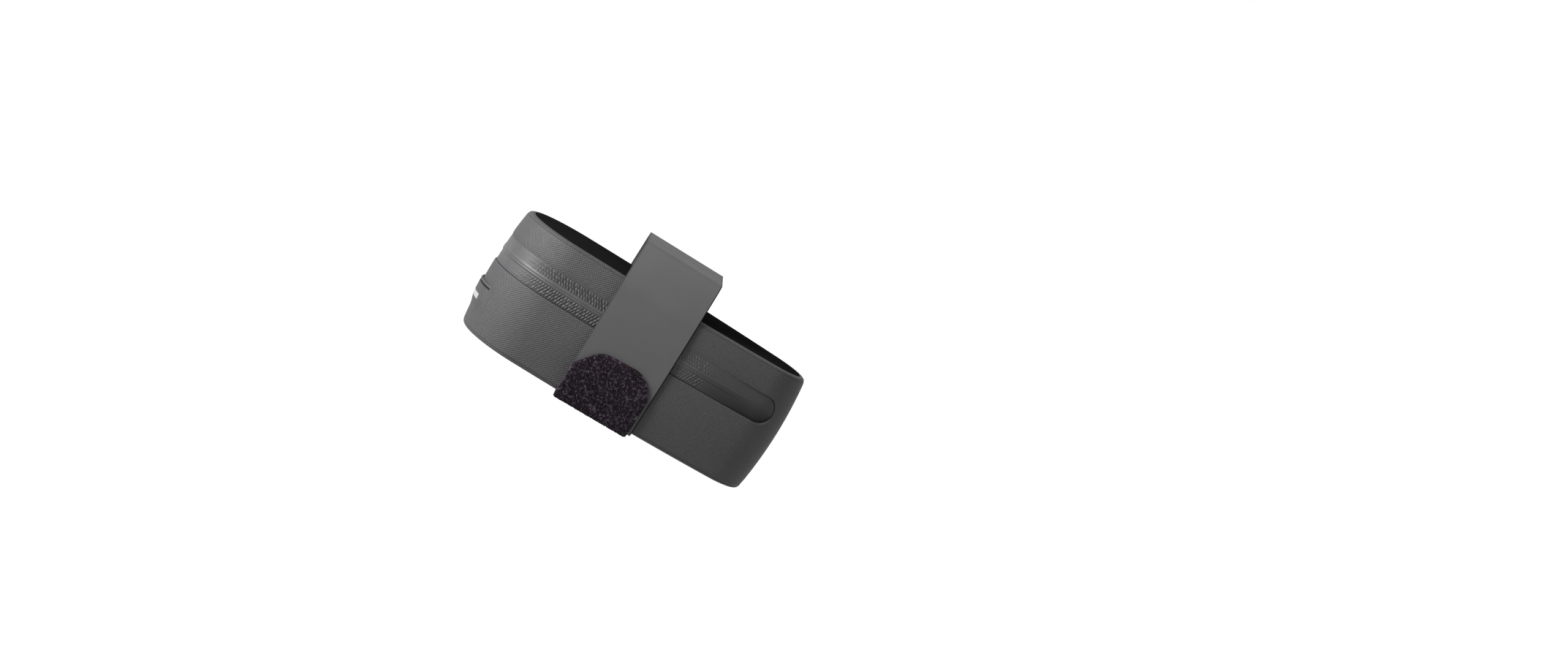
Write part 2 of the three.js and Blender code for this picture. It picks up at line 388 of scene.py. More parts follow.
# %% Camera
PICTURE = (2145, 900)
MM_PER_PIXEL = 0.352
CAMERA_DISTANCE = 1200.0
BAG_TILT = math.radians(31.983)
CAMERA_ELEVATION = math.radians(7.196)
CAMERA_YAW = math.radians(1.024)
BAG_MIDDLE = np.array([2.1, 0.0, -49.6])
MIDDLE_PIXEL = (868.2, 478.6)
SENSOR = 36.0
FAR_CLIP = 200.0

level_right = np.array([math.cos(BAG_TILT), 0.0, math.sin(BAG_TILT)])
level_up = np.array([-math.sin(BAG_TILT), 0.0, math.cos(BAG_TILT)])
straight_on = np.array([0.0, 1.0, 0.0])
right = level_right * math.cos(CAMERA_YAW) - straight_on * math.sin(CAMERA_YAW)
away = level_right * math.sin(CAMERA_YAW) + straight_on * math.cos(CAMERA_YAW)
up = level_up * math.cos(CAMERA_ELEVATION) + away * math.sin(CAMERA_ELEVATION)
forward = away * math.cos(CAMERA_ELEVATION) - level_up * math.sin(CAMERA_ELEVATION)
shift_right = (MIDDLE_PIXEL[0] - PICTURE[0] / 2) * MM_PER_PIXEL
shift_up = (PICTURE[1] / 2 - MIDDLE_PIXEL[1]) * MM_PER_PIXEL
eye = BAG_MIDDLE - CAMERA_DISTANCE * forward - shift_right * right - shift_up * up

camera_data = bpy.data.cameras.new("camera")
camera_data.sensor_width = SENSOR
camera_data.lens = SENSOR * CAMERA_DISTANCE / (PICTURE[0] * MM_PER_PIXEL)
camera_data.clip_end = FAR_CLIP
camera = add_object("camera", camera_data)
turn = Matrix(np.stack([right, up, -forward], 1).tolist()).to_4x4()
camera.matrix_world = Matrix.Translation(Vector((eye * MM).tolist())) @ turn
bpy.context.scene.camera = camera
print(f"camera {CAMERA_DISTANCE:.0f} mm away, lens {camera_data.lens:.1f} mm")

# %% [markdown]
# ## Stage and light
# A white studio surrounds dark cloth with light from everywhere, which flattens it. One soft box close
# above, towards the rear end and the camera, restores the shape. It is near enough for its light to fall
# off along the bag: the wall is brightest where it turns to the rear, dimmer towards the nose and darker
# towards the lower seam. The floor lies well below, because the bag hangs free.

# %% Stage
FLOOR_DROP = 1.2
FLOOR_SIZE = 60.0
FLOOR_GLOW = 0.14
WHITE = (1, 1, 1, 1)

floor_finish, wire = new_finish("pale_floor")
paper = grain(wire, 3.0)
shade(
    floor_finish,
    paper.mix(grey(0.88), grey(0.92)),
    paper * 0.1 + 0.75,
    bump(paper, 0.1, 0.05),
    Specular_IOR_Level=0.0,
    Emission_Color=WHITE,
    Emission_Strength=FLOOR_GLOW,
)
floor_mesh = bpy.data.meshes.new("floor")
half_floor = FLOOR_SIZE / 2
corners = [(x * half_floor, y * half_floor, -FLOOR_DROP) for x, y in ((-1, -1), (1, -1), (1, 1), (-1, 1))]
floor_mesh.from_pydata(corners, [], [(0, 1, 2, 3)])
floor_mesh.materials.append(floor_finish)
add_object("floor", floor_mesh)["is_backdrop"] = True

world = bpy.data.worlds.new("studio")
world.use_nodes = True
background = next(n for n in world.node_tree.nodes if n.type == "BACKGROUND")
background.inputs["Color"].default_value = WHITE
background.inputs["Strength"].default_value = 1.0
bpy.context.scene.world = world
bpy.context.scene.view_settings.view_transform = "Standard"
print(f"floor {FLOOR_DROP} m below the origin")

# %% Light
KEY_PLACE = (-0.3, 0.28, 0.44)
KEY_SIZE = 0.3
KEY_WATTS = 13.0


def in_studio(to_right, to_camera, above):
    """A place in the level frame of the photograph, measured in metres from the bag."""
    place = BAG_MIDDLE * MM + to_right * right - to_camera * away + above * level_up
    return Vector(place.tolist())


def soft_box(name, place, side, watts):
    """A square light that faces the bag."""
    light = bpy.data.lights.new(name, "AREA")
    light.shape = "SQUARE"
    light.size = side
    light.energy = watts
    lamp = add_object(name, light)
    lamp.location = place
    aim = Vector((BAG_MIDDLE * MM).tolist()) - place
    lamp.rotation_euler = aim.to_track_quat("-Z", "Y").to_euler()
    return lamp


key = soft_box("key", in_studio(*KEY_PLACE), KEY_SIZE, KEY_WATTS)
print(f"{key.name}: {KEY_WATTS:.0f} W from {KEY_SIZE} m square")

# %% [markdown]
# ## Coated cloth
# The wall is woven nylon under a thin rubbery coat. Close up, the threads show through the coat as rows
# of small crowns, one over and one under, so the pattern is the product of two waves. It is read from
# the cloth map and so bends with the wall. The threads wander a little, as yarn does, which also keeps
# the fine pattern from beating against the pixels of the picture. Each crown is paler and smoother than
# the hollow beside it. The coat is uneven: slow noise changes its tone and hides the weave in places,
# and towards the nose it is thicker.

# %% Finish of the coated cloth
WEAVE_PITCH = 1.3
WEAVE_DEPTH = 0.22
WEAVE_WANDER = 0.8
WANDER_GRAINS = (220.0, 190.0)
# How much of the weave shows at least, and how much more noise of this grain adds to that.
SHOWS_LEAST = 0.55
SHOWS_MORE = 0.9
SHOWS_GRAIN = 300.0
COAT_THICKENS = (-20.0, 30.0)
COAT_HIDES = 0.55
FINE_GRAIN = 1100.0
SLOW_GRAIN = 40.0
CLOTH_DARK = grey(0.016, 0.03)
CLOTH_PALE = grey(0.036, 0.03)


def crowns(start):
    """Crowns of a plain weave on the cloth map, from 0 to 1, as far as the coat lets them show."""
    turns = 2 * math.pi / WEAVE_PITCH
    waves = []
    for thread, scale in zip(cloth_place(start), WANDER_GRAINS):
        waves.append(((thread + grain(start, scale) * WEAVE_WANDER) * turns).sine())
    to_nose = part_place(start)[0]
    shows = 1 - to_nose.step(*COAT_THICKENS) * COAT_HIDES
    shows = shows * (grain(start, SHOWS_GRAIN) * SHOWS_MORE + SHOWS_LEAST)
    return waves[0] * waves[1] * 0.5 * shows + 0.5


def coated(name):
    """The parts of a finish for coated cloth: material, first wire, colour, roughness and relief."""
    material, start = new_finish(name)
    crown = crowns(start)
    fine = grain(start, FINE_GRAIN).step(0.3, 0.7)
    tone = crown * 0.45 + grain(start, SLOW_GRAIN) * 0.3 + fine * 0.25
    colour = tone.mix(CLOTH_DARK, CLOTH_PALE)
    return material, start, colour, 0.68 - crown * 0.1, crown * 0.8 + fine * 0.2


cloth_finish, wire, colour, roughness, relief = coated("cloth_finish")
shade(cloth_finish, colour, roughness, bump(relief, WEAVE_DEPTH, 0.85), Specular_IOR_Level=0.2)
print("coated cloth: weave repeat", WEAVE_PITCH, "mm")

# %% [markdown]
# ## How the filled shell settles
# A packed bag pushes its wall out wherever nothing holds it: between the seams, the zip, the strap and
# the patch. That is a job for a cloth simulation, but not on the fine mesh, where seams would be lost. A
# coarse wall is held along those lines, blown out a little with gravity off, and only its outward
# movement is kept, as a table that the fine wall reads. The movement is capped, so that cloth and strap
# stay clear of each other.

# %% Where the wall is held
ZIP_SILL = 34.5
ZIP_OPENING = 14.4
ZIP_END = 17.0
ZIP_MIDDLE = ZIP_SILL + ZIP_OPENING / 2
STRAP_WIDTH = 41.4
PATCH_MIDDLE = 16.6
PATCH_HALF_HEIGHT = 7.4
PATCH_HALF_LENGTH = 22.0
SETTLE_COLUMNS = 150
SETTLE_ROWS = 26
PINCH = 2.0


def held_down(distance, height):
    """Where the wall is sewn, zipped or pressed down and can't move."""
    x = plan(distance)[0][..., 0]
    seam = (height < PINCH) | (height > HEIGHT - PINCH)
    along_zip = (distance > ZIP_END - PINCH) & (distance < GIRTH - ZIP_END + PINCH)
    zipped = along_zip & (np.abs(height - ZIP_MIDDLE) < ZIP_OPENING / 2 + PINCH)
    strapped = np.abs(x) < STRAP_WIDTH / 2 + PINCH
    round_rear = np.abs(distance - GIRTH / 2) < PATCH_HALF_LENGTH + PINCH
    patched = round_rear & (np.abs(height - PATCH_MIDDLE) < PATCH_HALF_HEIGHT + PINCH)
    return seam | zipped | strapped | patched


settle_at = np.arange(SETTLE_COLUMNS) * GIRTH / SETTLE_COLUMNS
settle_up = np.linspace(0, HEIGHT, SETTLE_ROWS)
coarse_distance, coarse_height = np.meshgrid(settle_at, settle_up)
held = held_down(coarse_distance, coarse_height)
print(f"{held.mean():.0%} of the coarse wall is held")

# %% Cloth pass on a coarse wall
SETTLE_FRAMES = 20
SETTLE_PRESSURE = 600
SETTLE_CAP = (-0.25, 0.8)


def settle_wall():
    """Outward movement of the coarse wall, in millimetres, row by row up the wall."""
    rest = on_wall(coarse_distance, coarse_height) * MM
    mesh = bpy.data.meshes.new("coarse_wall")
    faces = grid_faces(SETTLE_ROWS, SETTLE_COLUMNS, 0, False, True)
    mesh.from_pydata(rest.reshape(-1, 3).tolist(), [], faces)
    coarse = add_object("coarse_wall", mesh)
    pins = coarse.vertex_groups.new(name="held")
    pins.add(np.flatnonzero(held).tolist(), 1.0, "REPLACE")
    cloth = coarse.modifiers.new("settle", "CLOTH")
    cloth.settings.vertex_group_mass = "held"
    cloth.settings.quality = 8
    cloth.settings.mass = 0.2
    cloth.settings.tension_stiffness = 60
    cloth.settings.compression_stiffness = 60
    cloth.settings.bending_stiffness = 2
    cloth.settings.use_pressure = True
    cloth.settings.uniform_pressure_force = SETTLE_PRESSURE
    cloth.settings.effector_weights.gravity = 0
    cloth.collision_settings.use_collision = False
    cloth.point_cache.frame_end = SETTLE_FRAMES
    for number in range(1, SETTLE_FRAMES + 1):
        bpy.context.scene.frame_set(number)
    settled = coarse.evaluated_get(bpy.context.evaluated_depsgraph_get()).data
    place = np.empty(rest.size, np.float32)
    settled.vertices.foreach_get("co", place)
    moved = place.reshape(rest.shape) - rest
    bpy.data.objects.remove(coarse)
    bpy.context.scene.frame_set(1)
    return (moved[..., :2] * plan(coarse_distance)[1]).sum(-1) / MM


def calm(table):
    """Averages a table with its neighbours, round the girth and up the wall, so that no facet shows."""
    table = (np.roll(table, 1, 1) + 2 * table + np.roll(table, -1, 1)) / 4
    padded = np.pad(table, ((1, 1), (0, 0)), mode="edge")
    return (padded[:-2] + 2 * padded[1:-1] + padded[2:]) / 4


settled = np.zeros((SETTLE_ROWS, SETTLE_COLUMNS))
settled = calm(calm(np.clip(settle_wall(), *SETTLE_CAP)))
print(f"the wall settles by {settled.min():.2f} to {settled.max():.2f} mm")

# %% Reading the settled wall
def slack(distance, height):
    """Settled movement at any place on the wall, blended from the four nearest coarse points."""
    column = np.mod(distance, GIRTH) / GIRTH * SETTLE_COLUMNS
    row = np.clip(height / HEIGHT, 0, 1) * (SETTLE_ROWS - 1)
    left = np.floor(column).astype(int)
    low = np.minimum(np.floor(row).astype(int), SETTLE_ROWS - 2)
    across = column - left
    lift = row - low
    here = left % SETTLE_COLUMNS
    ahead = (left + 1) % SETTLE_COLUMNS
    lower = settled[low, here] * (1 - across) + settled[low, ahead] * across
    upper = settled[low + 1, here] * (1 - across) + settled[low + 1, ahead] * across
    return lower * (1 - lift) + upper * lift


print(f"low on the side it stands out by {slack(GIRTH / 4, HEIGHT / 4):.2f} mm")

# %% [markdown]
# ## Side wall
# The wall has a long round-ended window for the zip, so a plain grid round the bag would leave ragged
# window ends. Here every row of points starts on the window's outline and runs straight out to the
# seams, like rays. The first rows can then roll the cut edge inwards, crisp along the sill and soft
# along the top, where the real edge hardly shows. Beyond the seams the cloth turns over a small
# shoulder, with a pressed weld line, into lips.

# %% Rays from the zip window
RUN_STEP = 1.25
END_RAYS = (7, 24, 9)
TINY = 1e-9

window_half = ZIP_OPENING / 2
end_reach = ZIP_END + window_half
low_edge = SHOULDER
high_edge = HEIGHT - SHOULDER


def end_angles():
    """Angles of the rays round one end of the window, with one ray into each corner at the nose."""
    lower = math.atan2(low_edge - ZIP_MIDDLE, end_reach)
    upper = math.atan2(high_edge - ZIP_MIDDLE, end_reach)
    stops = (-math.pi / 2, lower, upper, math.pi / 2)
    spans = [np.linspace(a, b, n, endpoint=False) for a, b, n in zip(stops, stops[1:], END_RAYS)]
    return np.concatenate(spans)[1:]


def window_rays():
    """Start, direction and reach of every ray, in order round the window."""
    run = np.linspace(end_reach, GIRTH - end_reach, round((GIRTH - 2 * end_reach) / RUN_STEP))
    angles = end_angles()
    down = np.full(len(run), -math.pi / 2)
    facing = np.concatenate([down, angles, -down, math.pi - angles[::-1]])
    middle = np.concatenate([run, np.full(len(angles), run[-1]), run[::-1], np.full(len(angles), run[0])])
    direction = both(np.cos(facing), np.sin(facing))
    start = both(middle, ZIP_MIDDLE) + window_half * direction
    to_nose = end_reach / np.maximum(np.abs(direction[:, 0]), TINY)
    to_seam = np.where(direction[:, 1] > 0, high_edge - ZIP_MIDDLE, ZIP_MIDDLE - low_edge)
    to_seam = to_seam / np.maximum(np.abs(direction[:, 1]), TINY)
    return start, direction, np.minimum(to_nose, to_seam) - window_half


ray_start, ray_direction, ray_reach = window_rays()
print(len(ray_start), "rays round the window")

# %% Cut of the side wall
RIM_ROWS = np.array([0, 0.12, 0.35, 0.8, 1.6, 2.8])
SILL_DEPTH = np.array([0.38, 0.1, 0, 0, 0, 0])
HEAD_DEPTH = np.array([0.3, 0.26, 0.21, 0.13, 0.05, 0])
HEAD_OVERHANG = 0.26
WALL_SHARES = np.linspace(0, 1, 17)[1:]
LINING_SHARES = np.linspace(0, 1, 7)


def along_rays(distances):
    """Places on the flat wall at distances along every ray, one row for each distance."""
    return ray_start + distances[..., None] * ray_direction


wall_cut = Cut()
rim = np.repeat(RIM_ROWS[:, None], len(ray_reach), 1)
rest_of_wall = RIM_ROWS[-1] + WALL_SHARES[:, None] * (ray_reach - RIM_ROWS[-1])
softness = (ray_direction[:, 1] + 1) / 2
rim[0] = -HEAD_OVERHANG * softness
rim_depth = SILL_DEPTH[:, None] * (1 - softness) + HEAD_DEPTH[:, None] * softness
outer = along_rays(np.vstack([rim, rest_of_wall]))
outer_depth = np.vstack([rim_depth, np.zeros_like(rest_of_wall)])
outer_depth = outer_depth - slack(outer[..., 0], outer[..., 1])
inner = along_rays(LINING_SHARES[:, None] * ray_reach)
flat = np.concatenate([inner[::-1], outer])
depth = np.concatenate([np.full(inner.shape[:2], WALL), outer_depth])
wall_cut.add(on_wall(flat[..., 0], flat[..., 1], depth), flat, wrap_columns=True)
print(len(wall_cut.points), "points from the lining to the seams")

# %% Seams and the finished side wall
WELD_TURNS = np.radians([90, 80, 73, 69, 65, 61, 57, 50, 40, 28, 14, 0])
WELD_DEPTH = np.array([0, 0, 0, 0.06, 0.28, 0.06, -0.1, -0.12, -0.1, -0.06, 0, 0])
LIP_EDGE = 0.2


def seam_profile():
    """Depth and height of the cloth as it turns over the shoulder and back along the lip."""
    sine, cosine = np.sin(WELD_TURNS), np.cos(WELD_TURNS)
    depth = SHOULDER * (1 - sine) + WELD_DEPTH * sine
    height = SHOULDER * (1 - cosine) + WELD_DEPTH * cosine
    depth = np.concatenate([depth, [LIP - LIP_EDGE, LIP, LIP, WALL]])
    height = np.concatenate([height, [0, LIP_EDGE, WALL, SHOULDER]])
    return depth, height


def running(points):
    """Distances along a line of points, from its first one."""
    return np.concatenate([[0], np.cumsum(np.linalg.norm(np.diff(points, axis=0), axis=1))])


ray_end = along_rays(ray_reach[None])[0]
lip_depth, lip_height = seam_profile()
turned = running(both(lip_depth, lip_height))
for edge in (low_edge, high_edge):
    on_edge = np.flatnonzero(np.isclose(ray_end[:, 1], edge))
    distance = np.sort(ray_end[on_edge, 0])[None]
    height = lip_height if edge == low_edge else HEIGHT - lip_height
    points = on_wall(distance, height[:, None], lip_depth[:, None])
    on_cloth = edge - turned if edge == low_edge else edge + turned
    wall_cut.add(points, both(distance, on_cloth[:, None]))

side_wall = hang(wall_cut.sew("side_wall_cloth"), cloth_finish, "coated_cloth", "side_wall")

# %% [markdown]
# ## Geometry Nodes, run once and kept as a mesh
# Panels, zip ribs, pile and stitches follow rules or repeat hundreds of times, so node trees make them.
# A tree gets named inputs for its sizes and works on a host mesh. The evaluated result is copied into a
# plain mesh and the host is thrown away, so nothing live is left on the bag.

# %% Tree helpers
SOCKET = {float: "NodeSocketFloat", int: "NodeSocketInt"}


def new_tree(name, **sizes):
    """A tree with a geometry input, a finish, and one named input for each size."""
    tree = bpy.data.node_groups.new(name, "GeometryNodeTree")
    tree.is_modifier = True
    tree.interface.new_socket("Geometry", in_out="OUTPUT", socket_type="NodeSocketGeometry")
    tree.interface.new_socket("Geometry", in_out="INPUT", socket_type="NodeSocketGeometry")
    tree.interface.new_socket("Finish", in_out="INPUT", socket_type="NodeSocketMaterial")
    for label, value in sizes.items():
        item = tree.interface.new_socket(label, in_out="INPUT", socket_type=SOCKET[type(value)])
        item.default_value = value
    start = Wire(tree).node("NodeGroupInput")
    labels = [socket.name for socket in start.socket.node.outputs if socket.name]
    return start, {label: start.other(label) for label in labels}


def end_tree(geometry, finish):
    """Realize Instances, smooth shading and Set Material, then the way out."""
    geometry = geometry.node("GeometryNodeRealizeInstances", None, {0: geometry})
    geometry = geometry.node("GeometryNodeSetShadeSmooth", None, {0: geometry})
    geometry = geometry.node("GeometryNodeSetMaterial", None, {"Geometry": geometry, "Material": finish})
    output = geometry.tree.nodes.new("NodeGroupOutput")
    geometry.tree.links.new(geometry.socket, output.inputs["Geometry"])
    print(f"{geometry.tree.name}: {len(geometry.tree.nodes)} nodes")
    return geometry.tree


def grow(name, tree, host_mesh, finish, **sizes):
    """Runs a tree on a host mesh and keeps the result as a plain mesh object."""
    host = bpy.data.objects.new(name + "_host", host_mesh)
    modifier = host.modifiers.new(name, "NODES")
    modifier.node_group = tree
    values = {"Finish": finish, **sizes}
    for item in tree.interface.items_tree:
        if item.in_out == "INPUT" and item.name in values:
            modifier[item.identifier] = values[item.name]
    bpy.context.scene.collection.objects.link(host)
    evaluated = host.evaluated_get(bpy.context.evaluated_depsgraph_get())
    mesh = bpy.data.meshes.new_from_object(evaluated)
    bpy.data.objects.remove(host)
    mesh.name = name
    return add_object(name, mesh)


print("sizes in a tree are of type", " or ".join(kind.__name__ for kind in SOCKET))

# %% Hosts and common nodes
UPRIGHT = (math.pi / 2, 0.0, 0.0)


def line_mesh(name, *lines):
    """A host mesh of open lines of points, for trees that follow a path."""
    mesh = bpy.data.meshes.new(name)
    edges = []
    count = 0
    for line in lines:
        edges += [(count + i, count + i + 1) for i in range(len(line) - 1)]
        count += len(line)
    mesh.from_pydata((np.vstack(lines) * MM).tolist(), edges, [])
    return mesh


def place(start):
    """Where each point of the geometry is."""
    return start.node("GeometryNodeInputPosition")


def as_curve(lines):
    """A host mesh of lines as a curve."""
    return lines.node("GeometryNodeMeshToCurve", None, {0: lines})


def merged(*parts):
    """Several geometries as one."""
    joined = parts[0].node("GeometryNodeJoinGeometry")
    for part in parts:
        part.tree.links.new(part.socket, joined.socket.node.inputs[0])
    return joined


def ball(start):
    """A ball that is one unit across."""
    return start.node("GeometryNodeMeshUVSphere", None, {"Segments": 8, "Rings": 6, "Radius": 0.5})


def scatter(points, instance, rotation, scale):
    """One instance on every point."""
    sockets = {"Points": points, "Instance": instance, "Rotation": rotation, "Scale": scale}
    return points.node("GeometryNodeInstanceOnPoints", None, sockets)


def chance(start, low, high, seed):
    """A random number from low to high for every point."""
    sockets = {"Min": low, "Max": high, "Seed": seed}
    return start.node("FunctionNodeRandomValue", {"data_type": "FLOAT"}, sockets, "Value")


print("common nodes:", ", ".join(helper.__name__ for helper in (as_curve, merged, ball, scatter, chance)))

# %% [markdown]
# ## Top and bottom panels
# Each panel is a sheet cut to the plan, let in between the wall's lips. The top one is slightly domed.
# The rule is short: a point sits at a share of the way from the middle to the rim, and the dome falls
# off with the square of that share. So a tree bends a plain grid by that rule and thickens it.
# Near-black cloth with a finer weave than the wall's finishes it. Its tone is partly the cloth's own dark
# colour and partly painted shade, pushed darker for the shade that lies over the top panel.

# %% Finish of the panels
PANEL_WEAVE = 0.9

panel_finish, wire = new_finish("panel_finish")
forwards, sideways, _ = part_place(wire)
turns = 2 * math.pi / PANEL_WEAVE
thread = (forwards * turns).sine() * (sideways * turns).sine() * 0.5 + 0.5
fine = grain(wire, 1500.0)
# Both greys are the cloth's dark colour pushed darker still as painted shade.
shade(
    panel_finish,
    (thread * 0.7 + fine * 0.3).mix(grey(0.0015), grey(0.0095)),
    0.85 - thread * 0.1,
    bump(thread, 0.1, 0.8),
    Specular_IOR_Level=0.0,
)
print("panel cloth: weave repeat", PANEL_WEAVE, "mm")

# %% Tree of the panels
start, size = new_tree("domed_panel", Middle=0.0, Dome=0.001, Thickness=0.001, Around=300, Rings=14)
rim_curve = as_curve(size["Geometry"])
sockets = {"Size X": 1.0, "Size Y": 1.0, "Vertices X": size["Around"], "Vertices Y": size["Rings"]}
grid = start.node("GeometryNodeMeshGrid", None, sockets)
around, share, _ = place(start).split()
share = share + 0.5
sockets = {0: rim_curve, "Factor": around + 0.5}
at_rim = start.node("GeometryNodeSampleCurve", {"mode": "FACTOR"}, sockets, "Position")
rim_x, rim_y, rim_z = at_rim.split()
bent = start.join(
    size["Middle"] + (rim_x - size["Middle"]) * share,
    rim_y * share,
    rim_z + size["Dome"] * (1 - share * share),
)
sheet = start.node("GeometryNodeSetPosition", None, {"Geometry": grid, "Position": bent})
sheet = start.node("GeometryNodeMergeByDistance", None, {"Geometry": sheet, "Distance": MERGE})
rise = start.join(0.0, 0.0, size["Thickness"])
raised = start.node("GeometryNodeExtrudeMesh", None, {"Mesh": sheet, "Offset": rise, "Individual": False})
panel_tree = end_tree(merged(sheet, raised), size["Finish"])

# %% Top and bottom panels
TOP_DOME = 1.5
PANEL_RIM_STEPS = 300


def panel(name, node, seam, under, dome):
    """One panel, from the rim line that the lips leave for it."""
    steps = np.linspace(0, GIRTH, PANEL_RIM_STEPS)
    rim_line = on_wall(steps, seam, LIP + GAP)
    rim_line[:, 2] = FLOOR_Z + under
    piece = grow(
        name,
        panel_tree,
        line_mesh(name + "_rim", rim_line),
        panel_finish,
        Middle=widest_x * MM,
        Dome=dome * MM,
        Thickness=WALL * MM,
    )
    close_up(piece.data)
    hang(piece, panel_finish, "panel_cloth", node)


panel("top_panel_cloth", "top_panel", HEIGHT, HEIGHT - WALL, TOP_DOME)
panel("bottom_panel_cloth", "bottom_panel", 0, 0, 0.0)

# %% [markdown]
# ## Zip tapes
# The zip is the coated, water-shedding kind: two tapes whose edges meet in a thin smooth welt over the
# coil. Each tape fills half of the window, a little below the wall's face, and spreads behind the wall
# where it is welded on. It is one closed strip, with a cross-section that is drawn once and squeezed
# into the window's round ends. In the finish the welt is rubbed smoother, and shade is painted into the
# hollows between the coil's ribs. Towards the front ends the tape sinks, and there its tone is painted
# darker as shade, most of all on its lower half.

# %% Finish of the zip tapes
# Millimetres from the split between the tapes: the rubbed welt, then the hollows between the ribs, which
# hold painted shade.
WELT_ENDS = (1.1, 1.5)
HOLLOWS_START = (1.5, 1.9)
HOLLOWS_END = (6.4, 7.0)
# Millimetres round the bag from the rear: the smooth bend, then the run where the painted shade in the
# hollows fades.
BEND_ENDS = (26.0, 46.0)
HOLLOWS_FADE = (80.0, 138.0)
# Where shade is painted towards the front: millimetres forward in the part, and up from the split.
FRONT_STARTS = (22.0, 48.0)
LOW_SHADE_BELOW = (-5.0, 4.5)
FILM_THREAD = 0.5

film_finish, wire = new_finish("film_finish")
around, upwards = cloth_place(wire)
ahead, _, level = part_place(wire)
fine = grain(wire, 1800.0)
slow = grain(wire, 90.0)
threads = (upwards * (2 * math.pi / FILM_THREAD)).sine() * 0.5 + 0.5
from_split = (upwards - ZIP_MIDDLE).size()
from_rear = (around - GIRTH / 2).size()
rubbed = 1 - from_split.step(*WELT_ENDS)
# Painted shade in the hollows between the ribs, faded round the rear bend and along the run towards the
# ends.
hollow_shade = from_split.step(*HOLLOWS_START) * (1 - from_split.step(*HOLLOWS_END))
hollow_shade = hollow_shade * from_rear.step(*BEND_ENDS) * (1 - from_rear.step(*HOLLOWS_FADE))
to_front = ahead.step(*FRONT_STARTS)
# Painted shade on the lower half of the tape towards the front.
low_front_shade = to_front * (1 - (level - (FLOOR_Z + ZIP_MIDDLE)).step(*LOW_SHADE_BELOW))
# Random tone of the film, painted darker towards the front as shade.
dust_and_front_shade = (fine * 0.4 + slow * 0.6) * (1 - to_front * 0.75)
film = dust_and_front_shade.mix(grey(0.019, 0.03), grey(0.047, 0.03))
# The hollows are painted near black, as shade.
film = (hollow_shade * 0.75).mix(film, grey(0.004))
# The lower front of the tape is painted darker still, as shade.
shade(
    film_finish,
    (low_front_shade * 0.55).mix(film, grey(0.002)),
    0.55 - slow * 0.1 - rubbed * 0.05 + low_front_shade * 0.3 + hollow_shade * 0.1,
    bump(fine * 0.8 + threads * 0.2, 0.04, 0.5),
    Specular_IOR_Level=0.18,
)

# %% Stations along the zip
TIP_INSET = 0.06
TIP_STATIONS = 16
SINK_FROM_END = (8.0, 30.0)
SINK_RUN = 4.0


def tape_half_height(distance):
    """Half of the window at each station, less the gap, with its round ends."""
    radius = window_half - GAP
    from_end = np.minimum(distance, GIRTH - distance) - ZIP_END - GAP
    into_end = np.clip(radius - from_end, 0, radius)
    return np.sqrt(radius**2 - into_end**2)


def tape_stations():
    """Distances round the wall, close together at the tips and even between them."""
    radius = window_half - GAP
    turns = np.linspace(math.acos(1 - TIP_INSET / radius), math.pi / 2, TIP_STATIONS)
    tip = ZIP_END + GAP + radius * (1 - np.cos(turns))
    run = np.linspace(tip[-1], GIRTH - tip[-1], round((GIRTH - 2 * tip[-1]) / RUN_STEP))
    return np.concatenate([tip, run[1:-1], (GIRTH - tip)[::-1]])


def smooth(share):
    """A share of the way, held between 0 and 1 and eased at both ends."""
    share = np.clip(share, 0, 1)
    return share**2 * (3 - 2 * share)


def near_front(distance):
    """0 along most of the zip, rising smoothly to 1 towards its front ends."""
    near, far = SINK_FROM_END
    from_end = np.minimum(distance, GIRTH - distance) - ZIP_END
    return smooth((far - from_end) / (far - near))


def sunk(offset, half):
    """0 on the middle line, rising to 1 where the tape meets the edge of the window."""
    at_middle = np.exp(-half / SINK_RUN)
    return (np.exp((offset - half) / SINK_RUN) - at_middle) / (1 - at_middle)


print(len(tape_stations()), "stations along the zip")

# %% Zip tapes
RECESS_BELOW = 0.6
RECESS_ABOVE = 0.35
TAPE_BACK = WALL + GAP + 1.0
TAPE_FLANGE = 4.0
ZIP_SPLIT = 0.03
# Half of the raised lips in the middle: offset from the split and rise above the tape.
WELT = np.array([
    (0, 0.24), (0.05, 0.31), (0.15, 0.36), (0.4, 0.42), (0.7, 0.43), (1.05, 0.34), (1.3, 0.16), (1.42, 0)])
WELT_ROOM = 3.0
FACE_SHARES = np.linspace(0, 1, 14)[1:]
# How deep the edge of the tape sinks along most of the zip, and at its front ends.
SINK_BELOW = (0.12, 1.2)
SINK_ABOVE = (0.0, 0.5)


